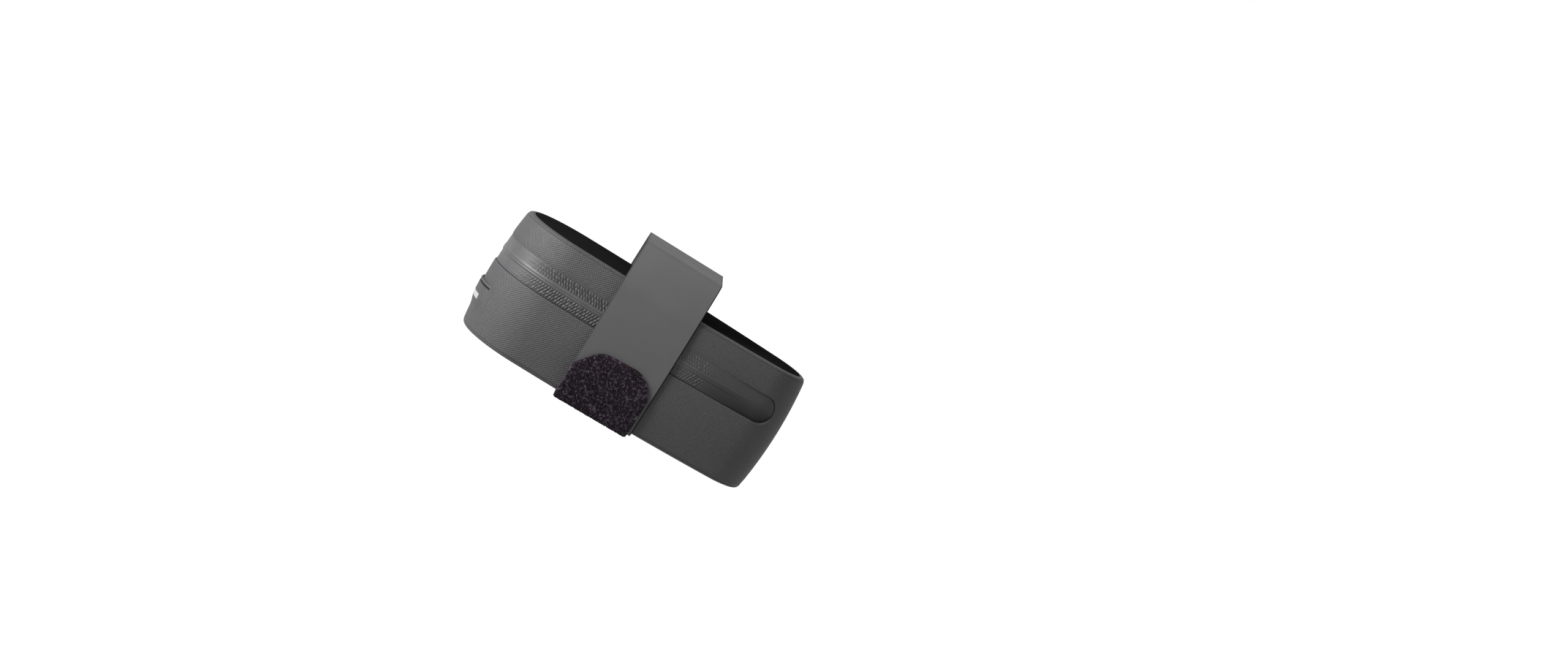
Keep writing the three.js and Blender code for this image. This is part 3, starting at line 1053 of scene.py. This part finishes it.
def zip_tape(name, node, side):
    """The tape above the split, or below it for a side of -1, as one closed strip."""
    distance = tape_stations()
    half = tape_half_height(distance)
    inside = ZIP_SPLIT / 2
    squeeze = np.minimum(1, half / WELT_ROOM)
    front = near_front(distance)
    least, most = SINK_ABOVE if side > 0 else SINK_BELOW
    sink = (least + (most - least) * front) * half / half.max()
    recess = RECESS_ABOVE if side > 0 else RECESS_BELOW
    recess = recess + (RECESS_BELOW - recess) * front
    welt = [(np.full_like(distance, inside), TAPE_BACK)]
    for offset, rise in WELT:
        offset = inside + offset * squeeze
        rise = rise * (1 - front) * recess / RECESS_BELOW
        welt.append((offset, recess + sink * sunk(offset, half) - rise))
    welt_end = inside + WELT[-1, 0] * squeeze
    face = []
    for share in FACE_SHARES:
        offset = welt_end + (half - welt_end) * share
        face.append((offset, recess + sink * sunk(offset, half)))
    back = [(half, WALL + GAP), (half + TAPE_FLANGE, WALL + GAP), (half + TAPE_FLANGE, TAPE_BACK)]
    rows = welt + face + back
    height = np.array([ZIP_MIDDLE + side * offset for offset, _ in rows])
    depth = np.array([np.broadcast_to(level, distance.shape) for _, level in rows])
    cut = Cut().add(on_wall(distance, height, depth), both(distance, height), wrap_rows=True)
    piece = hang(cut.sew(name), film_finish, "zip_tape", node)


zip_tape("zip_tape_upper_film", "zip_tape_upper", 1)
zip_tape("zip_tape_lower_film", "zip_tape_lower", -1)

# %% [markdown]
# ## Ribs of the coil under the film
# The coil and its tape press through the film as a herringbone: on each side of the smooth lips three
# rows of small slanted beads lean back from the middle. The tree lays the rows out flat, with one
# stretched ball for each bead. The beads of a row are uneven. They sink into the tape near the ends of
# the run, and round the rear bend, where the film is stretched flat. Then the tree bends every point
# onto the wall by the same rule that `on_wall` uses in Python, so each bead hugs the round rear as
# closely as the flat side.

# %% Tree of the zip ribs
BEAD_ROWS = 3
BEAD_UNEVEN = (0.6, 1.1)
# Share of a bead's rise that is left in the rear bend, and how far past the bend it grows back.
BEND_RELIEF = 0.2
BEND_EASE = 1.8

start, size = new_tree(
    "zip_ribs", First=0.0, Pitch=0.001, Count=10, Middle=0.0, Side=1.0, Width=0.001, Length=0.002,
    Relief=0.0002, Slant=0.0, Recess=0.0, Fade=5.0, Bend=10.0, Inner=0.002, Spacing=0.002, Seed=1)
plan_curve = as_curve(size["Geometry"])
sockets = {"Geometry": ball(start), "Rotation": UPRIGHT}
bead = start.node("GeometryNodeTransform", None, sockets)
number = start.node("GeometryNodeInputIndex")
fade = number.step(0.0, size["Fade"]) * (size["Count"] - number).step(1.0, size["Fade"] + 1)
from_rear = (number - size["Count"] * 0.5).size()
past_bend = from_rear.step(size["Bend"], size["Bend"] * BEND_EASE)
fade = fade * (past_bend * (1 - BEND_RELIEF) + BEND_RELIEF)
slanted = start.join(0.0, 0.0, size["Slant"] * size["Side"])
lean = start.node("FunctionNodeEulerToRotation", None, {0: slanted})
step = start.join(size["Pitch"], 0.0, 0.0)
bead_rows = []
for row in range(BEAD_ROWS):
    outward = size["Spacing"] * row
    begin = start.join(
        size["First"] - outward * size["Slant"].maths("TANGENT", size["Slant"]),
        size["Middle"] + (size["Inner"] + outward) * size["Side"],
        0.0,
    )
    sockets = {"Count": size["Count"], "Start Location": begin, "Offset": step}
    line = start.node("GeometryNodeMeshLine", None, sockets)
    uneven = chance(start, *BEAD_UNEVEN, size["Seed"] + row)
    nudge = size["Width"] * (uneven - sum(BEAD_UNEVEN) / 2)
    sink = start.join(nudge, 0.0, size["Relief"] * (fade * uneven - 1))
    line = start.node("GeometryNodeSetPosition", None, {"Geometry": line, "Offset": sink})
    stretched = start.join(size["Width"] * uneven, size["Length"], size["Relief"] * 2)
    bead_rows.append(scatter(line, bead, lean, stretched))
flat_rows = start.node("GeometryNodeRealizeInstances", None, {0: merged(*bead_rows)})
distance, height, lift = place(start).split()
sockets = {0: plan_curve, "Length": distance}
sampled = start.node("GeometryNodeSampleCurve", {"mode": "LENGTH"}, sockets, "Position")
outward = start.vector("CROSS_PRODUCT", sampled.other("Tangent"), (0.0, 0.0, 1.0))
from_middle = height * (2 / (HEIGHT * MM)) - 1
out = (1 - from_middle * from_middle) * (BULGE * MM) - size["Recess"] + lift
bent = start.vector("ADD", start.vector("ADD", sampled, outward.scaled(out)), start.join(0.0, 0.0, height))
ribs = start.node("GeometryNodeSetPosition", None, {"Geometry": flat_rows, "Position": bent})
rib_tree = end_tree(ribs, size["Finish"])

# %% Zip ribs
RIB_PITCH = 1.5
RIB_FROM_END = 31.0
BEAD_WIDTH = 1.15
BEAD_LENGTH = 2.2
BEAD_RELIEF = 0.25
BEAD_SLANT = math.radians(30)
BEAD_SINK = 0.03
FADE_BEADS = 7.0
BEND_BEADS = 16.0
FIRST_ROW = 2.2
ROW_SPACING = 1.75
BEAD_SEED = 4
PLAN_STEPS = 1200

plan_line = on_wall(np.linspace(0, GIRTH, PLAN_STEPS), 0)
rib_count = int((GIRTH - 2 * (ZIP_END + RIB_FROM_END)) / RIB_PITCH)
for name, side, recess in (("zip_ribs_upper", 1.0, RECESS_ABOVE), ("zip_ribs_lower", -1.0, RECESS_BELOW)):
    ribs = grow(
        name,
        rib_tree,
        line_mesh(name + "_plan", plan_line),
        film_finish,
        First=(ZIP_END + RIB_FROM_END) * MM,
        Pitch=RIB_PITCH * MM,
        Count=rib_count,
        Middle=ZIP_MIDDLE * MM,
        Side=side,
        Width=BEAD_WIDTH * MM,
        Length=BEAD_LENGTH * MM,
        Relief=BEAD_RELIEF * MM,
        Slant=BEAD_SLANT,
        Recess=(recess + BEAD_SINK) * MM,
        Fade=FADE_BEADS,
        Bend=BEND_BEADS,
        Inner=FIRST_ROW * MM,
        Spacing=ROW_SPACING * MM,
        Seed=BEAD_SEED,
    )
    hang(ribs, film_finish, "zip_tape")
print(rib_count, "beads in each row")

# %% [markdown]
# ## Zip slider and pull
# The slider is parked at the front end of the zip, on the side away from the camera. It is a small die
# casting with a domed body, an arched bridge and a soft pull on a wire loop. All of it is drawn on a
# flat patch, as distance along the zip, height and rise, and laid on the wall.

# %% Finish of the zip hardware
hardware_finish, wire = new_finish("hardware_finish")
worn = grain(wire, 260.0, 4.0)
fine = grain(wire, 2600.0)
shade(
    hardware_finish,
    worn.step(0.45, 0.75).mix(grey(0.022), grey(0.06)),
    0.48 - worn * 0.16 + fine * 0.06,
    bump(fine, 0.03, 0.4),
    Specular_IOR_Level=0.5,
)

# %% Slabs of the slider and the pull
RING_STEPS = 48
CORNER_POWER = 3.0
GRIP_SHARES = np.linspace(0.75, 0.06, 8)
GRIP_RIDGES = 12
GRIP_RISE = 0.16
GRIP_FROM = 0.35
GRIP_EASE = 0.5


def on_zip(along, across, rise):
    """Places on the wall, from the zip's front end on the left side: along it, across it and outwards."""
    return on_wall(ZIP_END + along, ZIP_MIDDLE + across, -np.asarray(rise, float))


def rounded(first, last, half, taper=1.0):
    """Outline of a rounded slab, as places along and across, narrower at its first end by taper."""
    turns = np.linspace(0, 2 * math.pi, RING_STEPS, endpoint=False)
    cosine, sine = np.cos(turns), np.sin(turns)
    along = np.sign(cosine) * np.abs(cosine) ** (2 / CORNER_POWER)
    across = np.sign(sine) * np.abs(sine) ** (2 / CORNER_POWER)
    width = half * (1 + taper + (1 - taper) * along) / 2
    return (first + last) / 2 + (last - first) / 2 * along, width * across


def domed_slab(first, last, half, taper, levels):
    """Rings of a slab that follows its levels, each an inset and a rise."""
    rings = []
    for inset, rise in levels:
        along, across = rounded(first + inset, last - inset, half - inset, taper)
        rings.append(on_zip(along, across, rise))
    return rings


def grip(first, last, half, taper, levels):
    """Rings that close a slab's top, with ridges for the fingers."""
    inset, top = levels[-1]
    middle, length = (first + last) / 2, last - first
    edge, across = rounded(first + inset, last - inset, half - inset, taper)
    rings = []
    for share in GRIP_SHARES:
        along = middle + (edge - middle) * share
        ridged = np.clip(((along - first) / length - GRIP_FROM) / GRIP_EASE, 0, 1)
        rise = top + GRIP_RISE * ridged * np.sin(along / length * 2 * math.pi * GRIP_RIDGES)
        rings.append(on_zip(along, across * share, rise))
    return rings


print(RING_STEPS, "points round each slab")

# %% Zip slider and pull
SLIDER_LEVELS = [(0, -0.3), (0, 0.55), (0.25, 0.85), (0.8, 1.05), (2.0, 1.15)]
SLIDER = {"first": 2.0, "last": 12.0, "half": 4.2, "taper": 0.7, "levels": SLIDER_LEVELS}
PULL_LEVELS = [(0.45, 1.1), (0.1, 1.25), (0, 1.55), (0.1, 1.85), (0.5, 2.05)]
PULL = {"first": 9.6, "last": 30.0, "half": 2.6, "taper": 0.72, "levels": PULL_LEVELS}
BRIDGE = {"first": 3.6, "last": 9.2, "half": 1.1, "low": 0.95, "high": 2.55, "thick": 0.5}
LOOP = {"first": 5.2, "last": 12.0, "half": 1.9, "rise": 1.55, "radius": 0.42}
BRIDGE_STATIONS = 15
BRIDGE_POWER = 0.6
BRIDGE_EDGE = (0.15, 0.1)
LOOP_SIDES = 8


def arch(first, last, half, low, high, thick):
    """A flat bridge that rises between two feet."""
    ease, drop = BRIDGE_EDGE
    square = [(-half, thick), (half, thick), (half, drop), (half - ease, 0), (ease - half, 0), (-half, drop)]
    rows = []
    for share in np.linspace(0, 1, BRIDGE_STATIONS):
        along = first + (last - first) * share
        rise = low + (high - low) * math.sin(math.pi * share) ** BRIDGE_POWER
        rows.append([on_zip(along, across, rise - down) for across, down in square])
    return np.array(rows)


def wire_loop(first, last, half, rise, radius):
    """A round wire bent into a closed rounded loop that lies on the wall."""
    along, across = rounded(first, last, half)
    middle = (first + last) / 2
    rows = []
    for turn in np.linspace(0, 2 * math.pi, LOOP_SIDES, endpoint=False):
        wider = 1 + radius * math.cos(turn) / half
        level = rise + radius * math.sin(turn)
        rows.append(on_zip(middle + (along - middle) * wider, across * wider, level))
    return np.array(rows)


slider_cut = Cut()
slider_cut.add(np.stack(domed_slab(**SLIDER)), (0, 0), wrap_columns=True)
slider_cut.add(arch(**BRIDGE), (0, 0), wrap_columns=True)
slider_cut.add(wire_loop(**LOOP), (0, 0), wrap_rows=True, wrap_columns=True)
slider_cut.add(np.stack(domed_slab(**PULL) + grip(**PULL)), (0, 0), wrap_columns=True)
hang(slider_cut.sew("zip_slider_and_pull"), hardware_finish, "zip_hardware", "zip_slider")

# %% [markdown]
# ## Rear patch
# A low coated patch is welded to the round rear. It is a rounded slab that bends with the wall and runs
# out to nothing at its ends and its lower edge, so only its top edge and the slot below that edge stand
# out. It has the wall's finish with a softer weave. It carries one plain reflective bar, printed flat,
# so the bar belongs in the finish and not in the mesh: a soft-edged box on the cloth map chooses between
# coat and pale print.

# %% Finish of the rear patch
BAR_HALF_LENGTH = 14.0
BAR_MIDDLE = 16.0
BAR_HALF_HEIGHT = 1.3
BAR_COLOUR = (0.16, 0.163, 0.166, 1)
SLOT_MIDDLE = PATCH_MIDDLE + 5.85
SLOT_HALF_HEIGHT = 0.42
SLOT_HALF_LENGTH = 19.2
SOFT_EDGE = 0.12

rubber_finish, wire, colour, roughness, relief = coated("rubber_finish")
around, upwards = cloth_place(wire)


def within(offset, half):
    """1 where an offset to either side is less than half, 0 beyond, with a soft edge."""
    return 1 - offset.size().step(half - SOFT_EDGE, half + SOFT_EDGE)


from_rear = around - GIRTH / 2
bar = within(from_rear, BAR_HALF_LENGTH) * within(upwards - BAR_MIDDLE, BAR_HALF_HEIGHT)
# Inside the slot the colour is painted near black, as shade in the recess.
in_slot = within(from_rear, SLOT_HALF_LENGTH) * within(upwards - SLOT_MIDDLE, SLOT_HALF_HEIGHT)
# The slot is painted near black as shade; the bar is pale print.
shade(
    rubber_finish,
    bar.mix(in_slot.mix(colour, grey(0.001)), BAR_COLOUR),
    roughness - bar * 0.12,
    bump(relief, WEAVE_DEPTH, 0.6),
    Specular_IOR_Level=0.2,
)
print(f"bar {2 * BAR_HALF_LENGTH:.0f} by {2 * BAR_HALF_HEIGHT:.1f} mm")

# %% Rear patch
PATCH_CORNER = 3.0
CORNER_STATIONS = 9
RUN_STATIONS = 64
# The rounded edge: inset from the outline and rise.
PATCH_EDGE = [(0, 0), (0, 0.45), (0.12, 0.68), (0.4, 0.8)]
PATCH_RISE = 0.8
PATCH_FEATHER = 7.0
FLUSH = 0.03
SLOT_DEPTH = 0.95
SLOT_SLOPE = 0.1
SLOT_ROWS = SLOT_HALF_HEIGHT * np.array([-1 - SLOT_SLOPE, -1, 1, 1 + SLOT_SLOPE])
PATCH_ROWS = np.concatenate([np.linspace(-6.6, 5.1, 12), SLOT_MIDDLE - PATCH_MIDDLE + SLOT_ROWS, [6.5]])


def rear_patch():
    """The slab as one closed strip of rows from its lower edge over its face to its upper edge."""
    turns = np.linspace(0, math.pi / 2, CORNER_STATIONS)
    inset = PATCH_CORNER * (1 - np.cos(turns))
    narrow = PATCH_HALF_HEIGHT - PATCH_CORNER + PATCH_CORNER * np.sin(turns)
    straight = PATCH_HALF_LENGTH - PATCH_CORNER
    run = np.linspace(-straight, straight, RUN_STATIONS)[1:-1]
    offset = np.concatenate([inset - PATCH_HALF_LENGTH, run, (PATCH_HALF_LENGTH - inset)[::-1]])
    half = np.concatenate([narrow, np.full(len(run), PATCH_HALF_HEIGHT), narrow[::-1]])
    lower = [(-half + inward, rise) for inward, rise in PATCH_EDGE]
    face = [(across * half / PATCH_HALF_HEIGHT, PATCH_RISE) for across in PATCH_ROWS]
    upper = [(half - inward, rise) for inward, rise in PATCH_EDGE[::-1]]
    rows = lower + face + upper
    height = np.array([PATCH_MIDDLE + across for across, _ in rows])
    feather = smooth((PATCH_HALF_LENGTH - np.abs(offset)) / PATCH_FEATHER)
    feather = feather * smooth((height - PATCH_MIDDLE + half) / PATCH_FEATHER)
    level = GAP + np.array([rise for _, rise in rows])[:, None]
    in_slot = np.abs(height - SLOT_MIDDLE) < SLOT_HALF_HEIGHT * (1 + SLOT_SLOPE / 2)
    in_slot = in_slot & (np.abs(offset) < SLOT_HALF_LENGTH)
    rise = FLUSH + (level - SLOT_DEPTH * in_slot) * feather
    distance = GIRTH / 2 + offset
    cut = Cut().add(on_wall(distance, height, -rise), both(distance, height), wrap_rows=True)
    return cut.sew("rear_patch_rubber")


hang(rear_patch(), rubber_finish, "patch_rubber", "rear_patch")
print(f"patch {2 * PATCH_HALF_LENGTH:.0f} by {2 * PATCH_HALF_HEIGHT:.1f} mm")
print(f"slot {2 * SLOT_HALF_LENGTH:.1f} mm long")

# %% [markdown]
# ## Strap
# The strap is one flat band of smooth coated webbing. Flat webbing is modelled directly: a rounded
# cross-section is carried along the path that the band takes, from under the bag, up one side, over
# through the loop and down again. Stiff webbing stays flat across its width while the bag's side curves
# away, so the band touches the wall along one line and stands off it at both edges. That gap, with the
# shadow painted along the strap's edge in its finish, draws the dark line beside the strap.

# %% Sides and section of the strap
FLAT_FROM = 8.0
EDGE_EASE = 0.15
EDGE_CREASE = 0.2
EDGE_STEPS = 7


def side_at(x, height):
    """Half-width of the bag at a station along it and a height."""
    sag = SIDE_RADIUS - np.sqrt(SIDE_RADIUS**2 - (x - widest_x) ** 2)
    return HALF_WIDTH - sag + swell(height)


def strap_side(x, height):
    """The strap's own side: flat across its width, touching the bag's long curve along one line only."""
    run = FLAT_FROM - widest_x
    slope = run / math.sqrt(SIDE_RADIUS**2 - run**2)
    return side_at(FLAT_FROM, height) - slope * (x - FLAT_FROM)


def strip_section(low, high, thickness, clearance, columns):
    """Places across a flat strip and their clearance from the bag, once round its rounded section."""
    eased = np.linspace(-math.pi / 2, math.pi / 2, EDGE_STEPS)[1:-1]
    across = np.linspace(low + EDGE_EASE, high - EDGE_EASE, columns)
    across = np.sort(np.append(across, [across[0] + EDGE_CREASE, across[-1] - EDGE_CREASE]))
    edge_x = high - EDGE_EASE + EDGE_EASE * np.cos(eased)
    edge_out = thickness / 2 * (1 + np.sin(eased))
    x = np.concatenate([across, edge_x, across[::-1], low + high - edge_x])
    flat_out = np.full(len(across), thickness)
    out = np.concatenate([np.zeros(len(across)), edge_out, flat_out, edge_out[::-1]])
    return x, clearance + out


lift_off = strap_side(-STRAP_WIDTH / 2, HEIGHT / 2) - side_at(-STRAP_WIDTH / 2, HEIGHT / 2)
print(f"the strap's rear edge stands {lift_off:.1f} mm off the wall")

# %% Path of the strap
SEAT_HEIGHT = 81.0
BEND_RADIUS = 3.5
BEND_FROM_MIDDLE = 22.0
# Stations along each stretch of the path, in the order in which the strap takes them.
UNDER_SHARES = np.linspace(0, 0.97, 14)
CORNER_TURNS = np.linspace(math.pi / 2, 0, 9)
SIDE_STATIONS = 24
LEAN_SHARES = np.linspace(0, 1, 8)[1:-1]
BEND_SHARES = np.linspace(0, 1, 12)
TOP_SHARES = np.linspace(0, 1, 9)[1:]


def under_and_corner(x, clearance, start):
    """Along the underside from start, then round the bottom edge, for every point of a section."""
    centre = strap_side(x, SHOULDER) - SHOULDER
    radius = SHOULDER + clearance
    under = [both(start + (centre - start) * share, -clearance) for share in UNDER_SHARES]
    corner = [both(centre + radius * math.cos(t), SHOULDER - radius * math.sin(t)) for t in CORNER_TURNS]
    return under + corner


def half_loop(x, clearance, start):
    """From under the bag, up one side and over to the middle of the loop's top."""
    heights = np.linspace(SHOULDER, HEIGHT - SHOULDER, SIDE_STATIONS)[1:]
    side = [both(strap_side(x, h) + clearance, h) for h in heights]
    radius = BEND_RADIUS + clearance - GAP
    centre = np.array([BEND_FROM_MIDDLE, SEAT_HEIGHT - BEND_RADIUS])
    to_leave = side[-1] - centre
    reach = np.hypot(to_leave[:, 0], to_leave[:, 1])
    touch = np.arctan2(to_leave[:, 1], to_leave[:, 0]) + np.arccos(radius / reach)
    bend = []
    for share in BEND_SHARES:
        angle = touch + (math.pi / 2 - touch) * share
        bend.append(centre + radius[:, None] * both(np.cos(angle), np.sin(angle)))
    lean = [side[-1] + (bend[0] - side[-1]) * share for share in LEAN_SHARES]
    top = [both(BEND_FROM_MIDDLE * (1 - share), bend[-1][:, 1]) for share in TOP_SHARES]
    return np.stack(under_and_corner(x, clearance, start) + side + lean + bend + top)


def in_space(x, path):
    """Paths of the section's points, as pairs of y and height, put into the part's frame."""
    x = np.broadcast_to(x, path.shape[:2])
    return np.stack([x, path[..., 0], path[..., 1] + FLOOR_Z], -1)


def mirrored(path):
    """The same path on the other side of the bag."""
    return path * np.array([-1, 1])


print(f"the loop's top lies {SEAT_HEIGHT:.0f} mm above the floor of the bag")

# %% [markdown]
# ## Finish and shape of the strap
# The coat on the strap is smoother than the wall's: no weave shows, only a very fine grain and a slow
# change of tone where fingers have polished it. A narrow black line of shadow is painted along the long
# edges: full on the edge towards the nose, and about half as dark on the other. The cloth map tells how
# far a point is from the middle of the strap.

# %% Finish of the strap
EDGE_SHADOW_WIDTH = 0.5
EDGE_SHADOW_SOFT = 0.08
REAR_EDGE_SHADOW = 0.55

strap_finish, wire = new_finish("strap_finish")
from_middle = cloth_place(wire)[0]
edge_shadow_from = STRAP_WIDTH / 2 - EDGE_SHADOW_WIDTH
edge_shadow_ramp = (edge_shadow_from - EDGE_SHADOW_SOFT, edge_shadow_from + EDGE_SHADOW_SOFT)
# Painted shadow along both long edges, darker on the edge towards the nose.
edge_shadow = from_middle.step(*edge_shadow_ramp) + (0 - from_middle).step(*edge_shadow_ramp) * REAR_EDGE_SHADOW
slow = grain(wire, 55.0)
fine = grain(wire, 3000.0)
coat = (slow * 0.7 + fine * 0.3).mix(grey(0.039, 0.01), grey(0.05, 0.01))
# The painted edge shadow is near black.
shade(
    strap_finish,
    edge_shadow.mix(coat, grey(0.001)),
    0.66 - slow * 0.12 + edge_shadow * 0.2,
    bump(fine, 0.02, 0.35),
    Specular_IOR_Level=0.1,
)

# %% Strap band
STRAP_THICKNESS = 1.0
STRAP_COLUMNS = 13
STRAP_RIGHT_END = 6.4
STRAP_LEFT_END = 6.0

x, clearance = strip_section(-STRAP_WIDTH / 2, STRAP_WIDTH / 2, STRAP_THICKNESS, GAP, STRAP_COLUMNS)
up_right = mirrored(half_loop(x, clearance, STRAP_RIGHT_END))
down_left = half_loop(x, clearance, -STRAP_LEFT_END)[::-1]
band = in_space(x, np.concatenate([up_right, down_left[1:]]))
along = running(band.mean(1))
band_cut = Cut().add(band, both(x, along[:, None]), wrap_columns=True)
strap_band = hang(band_cut.sew("strap_band_webbing"), strap_finish, "strap_coating", "strap_band")
print(f"strap {STRAP_WIDTH:.1f} mm wide and {along[-1]:.0f} mm long")

# %% [markdown]
# ## Fastening tab
# The strap's end is hook-and-loop tape with the fuzzy face out. It comes from under the bag, folds up
# round the bottom edge and ends in two clipped corners. The tape itself is another flat strip, with its
# free edge cut to that outline.

# %% Finish of the pile
PILE_DARK = (0.006, 0.0042, 0.0062, 1)
PILE_VIOLET = (0.0105, 0.006, 0.0105, 1)
PILE_SPECK = (0.047, 0.034, 0.048, 1)

pile_finish, wire = new_finish("pile_finish")
speck = grain(wire, 750.0)
patchy = grain(wire, 130.0)
violet = patchy.step(0.4, 0.7).mix(PILE_DARK, PILE_VIOLET)
shade(
    pile_finish,
    speck.step(0.48, 0.72).mix(violet, PILE_SPECK),
    0.95 - speck * 0.1,
    bump(speck, 0.15, 0.6),
    Specular_IOR_Level=0.1,
)

# %% Fastening tab
TAB_LOW = -20.5
TAB_HIGH = 19.0
TAB_THICKNESS = 1.2
TAB_TAIL = 14.0
TAB_COLUMNS = 34
TAB_RISE = np.linspace(0, 1, 26)[1:]
# The free edge: places across the strap and its height there, from one clipped corner to the other.
TAB_EDGE = np.array([
    (-20.5, 15.5), (-19.2, 18.0), (-13.6, 25.0), (-10.0, 27.4), (-6.0, 28.0),
    (7.0, 28.4), (11.0, 27.6), (14.0, 25.6), (17.8, 20.9), (19.0, 16.5),
])
TAB_ROUNDING = np.linspace(-1.2, 1.2, 9)


def tab_top(x):
    """Height of the free edge, with the corners of its outline rounded off."""
    spread = np.clip(x[:, None] + TAB_ROUNDING, TAB_LOW, TAB_HIGH)
    return np.interp(spread, TAB_EDGE[:, 0], TAB_EDGE[:, 1]).mean(1)


def tab_path(x, clearance, tail, below_edge=0.0):
    """From the tail under the bag, round the bottom edge and up to the free edge."""
    top = tab_top(x) - below_edge
    heights = SHOULDER + (top - SHOULDER) * TAB_RISE[:, None]
    side = [both(strap_side(x, h) + clearance, h) for h in heights]
    return mirrored(np.stack(under_and_corner(x, clearance, -tail) + side))


tab_clearance = GAP + STRAP_THICKNESS + GAP
x, clearance = strip_section(TAB_LOW, TAB_HIGH, TAB_THICKNESS, tab_clearance, TAB_COLUMNS)
tab = in_space(x, tab_path(x, clearance, TAB_TAIL))
along = running(tab.mean(1))
tab_cut = Cut().add(tab, both(x, along[:, None]), wrap_columns=True)
strap_tab = hang(tab_cut.sew("strap_tab_tape"), pile_finish, "strap_pile", "strap_tab")

# %% [markdown]
# ## Loops of the pile
# Up close the fuzzy face is thousands of tiny loops of yarn. A tree scatters points over the outer face
# with a fixed seed, stands half a ring of thread on each, turns it at random and varies its size.

# %% Tree of the pile loops
LOOP_SIZES = (0.7, 1.25)
LOOP_TIP = 0.5

start, size = new_tree("pile_loops", Density=1000.0, Radius=0.0004, Yarn=0.0001, Seed=1)
sockets = {"Resolution": 5, "Radius": size["Radius"], "Sweep Angle": math.pi}
ring = start.node("GeometryNodeCurveArc", {"mode": "RADIUS"}, sockets)
sockets = {"Resolution": 4, "Radius": size["Yarn"]}
yarn = start.node("GeometryNodeCurvePrimitiveCircle", {"mode": "RADIUS"}, sockets)
loop = start.node("GeometryNodeCurveToMesh", None, {"Curve": ring, "Profile Curve": yarn})
loop = start.node("GeometryNodeTransform", None, {"Geometry": loop, "Rotation": UPRIGHT})
sockets = {"Mesh": size["Geometry"], "Density": size["Density"], "Seed": size["Seed"]}
settings = {"distribute_method": "RANDOM"}
spots = start.node("GeometryNodeDistributePointsOnFaces", settings, sockets, "Points")
vary = chance(start, *LOOP_SIZES, size["Seed"])
loops = scatter(spots, loop, spots.other("Rotation"), start.join(vary, vary, vary))
spin = chance(start, 0.0, 2 * math.pi, size["Seed"])
tip = chance(start, -LOOP_TIP, LOOP_TIP, size["Seed"])
sockets = {"Instances": loops, "Rotation": start.join(tip, 0.0, spin)}
loops = start.node("GeometryNodeRotateInstances", None, sockets)
pile_tree = end_tree(loops, size["Finish"])

# %% Pile loops
LOOP_DENSITY = 2.0
LOOP_RADIUS = 0.36
LOOP_YARN = 0.14
LOOP_SEED = 11
PILE_INSET = 0.7
PILE_COLUMNS = 40
HEM = 5.0

x = np.linspace(TAB_LOW + PILE_INSET, TAB_HIGH - PILE_INSET, PILE_COLUMNS)
face_clearance = np.full(len(x), tab_clearance + TAB_THICKNESS)
pile_face = in_space(x, tab_path(x, face_clearance, TAB_TAIL - HEM, PILE_INSET))
pile_host = bpy.data.meshes.new("pile_face")
faces = grid_faces(*pile_face.shape[:2], 0, False, False)
pile_host.from_pydata((pile_face.reshape(-1, 3) * MM).tolist(), [], faces)
loops = grow(
    "strap_tab_loops",
    pile_tree,
    pile_host,
    pile_finish,
    Density=LOOP_DENSITY / MM**2,
    Radius=LOOP_RADIUS * MM,
    Yarn=LOOP_YARN * MM,
    Seed=LOOP_SEED,
)
hang(loops, pile_finish, "strap_pile")

# %% [markdown]
# ## Stitches in the hem
# The tail of the tab lies under the bag. Its last few millimetres have no pile and are sewn down with
# two rows of stitches. A tree walks along each row at the stitch length, lays a thin lens of thread
# there and turns it along the row. The thread is as grey and smooth as the strap, and takes its finish.

# %% Tree of the stitches
start, size = new_tree("hem_stitches", Pitch=0.002, Thread=0.0003, Length=0.0018)
sockets = {"Curve": as_curve(size["Geometry"]), "Length": size["Pitch"]}
spots = start.node("GeometryNodeCurveToPoints", {"mode": "LENGTH"}, sockets, "Points")
lens = start.join(size["Thread"], size["Thread"], size["Length"])
stitches = scatter(spots, ball(start), spots.other("Rotation"), lens)
stitch_tree = end_tree(stitches, size["Finish"])

# %% Stitches
STITCH_PITCH = 2.4
STITCH_LENGTH = 1.9
STITCH_THREAD = 0.45
STITCH_ROWS = (1.4, 3.6)
STITCH_MARGIN = 2.0
STITCH_STEPS = 20

under_tab = FLOOR_Z - tab_clearance - TAB_THICKNESS
stitch_x = np.linspace(TAB_LOW + STITCH_MARGIN, TAB_HIGH - STITCH_MARGIN, STITCH_STEPS)
stitch_lines = []
for from_tail in STITCH_ROWS:
    row = np.broadcast_arrays(stitch_x, TAB_TAIL - from_tail, under_tab)
    stitch_lines.append(np.stack(row, -1))
stitches = grow(
    "strap_tab_stitches",
    stitch_tree,
    line_mesh("stitch_rows", *stitch_lines),
    strap_finish,
    Pitch=STITCH_PITCH * MM,
    Thread=STITCH_THREAD * MM,
    Length=STITCH_LENGTH * MM,
)
hang(stitches, strap_finish, "strap_coating")

new_box = [list(corner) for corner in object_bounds()]
growth = [round((b - a) / MM, 2) for corner, other in zip(cad_box, new_box) for a, b in zip(corner, other)]
print("the box moved by", growth, "mm, lowest corner first")
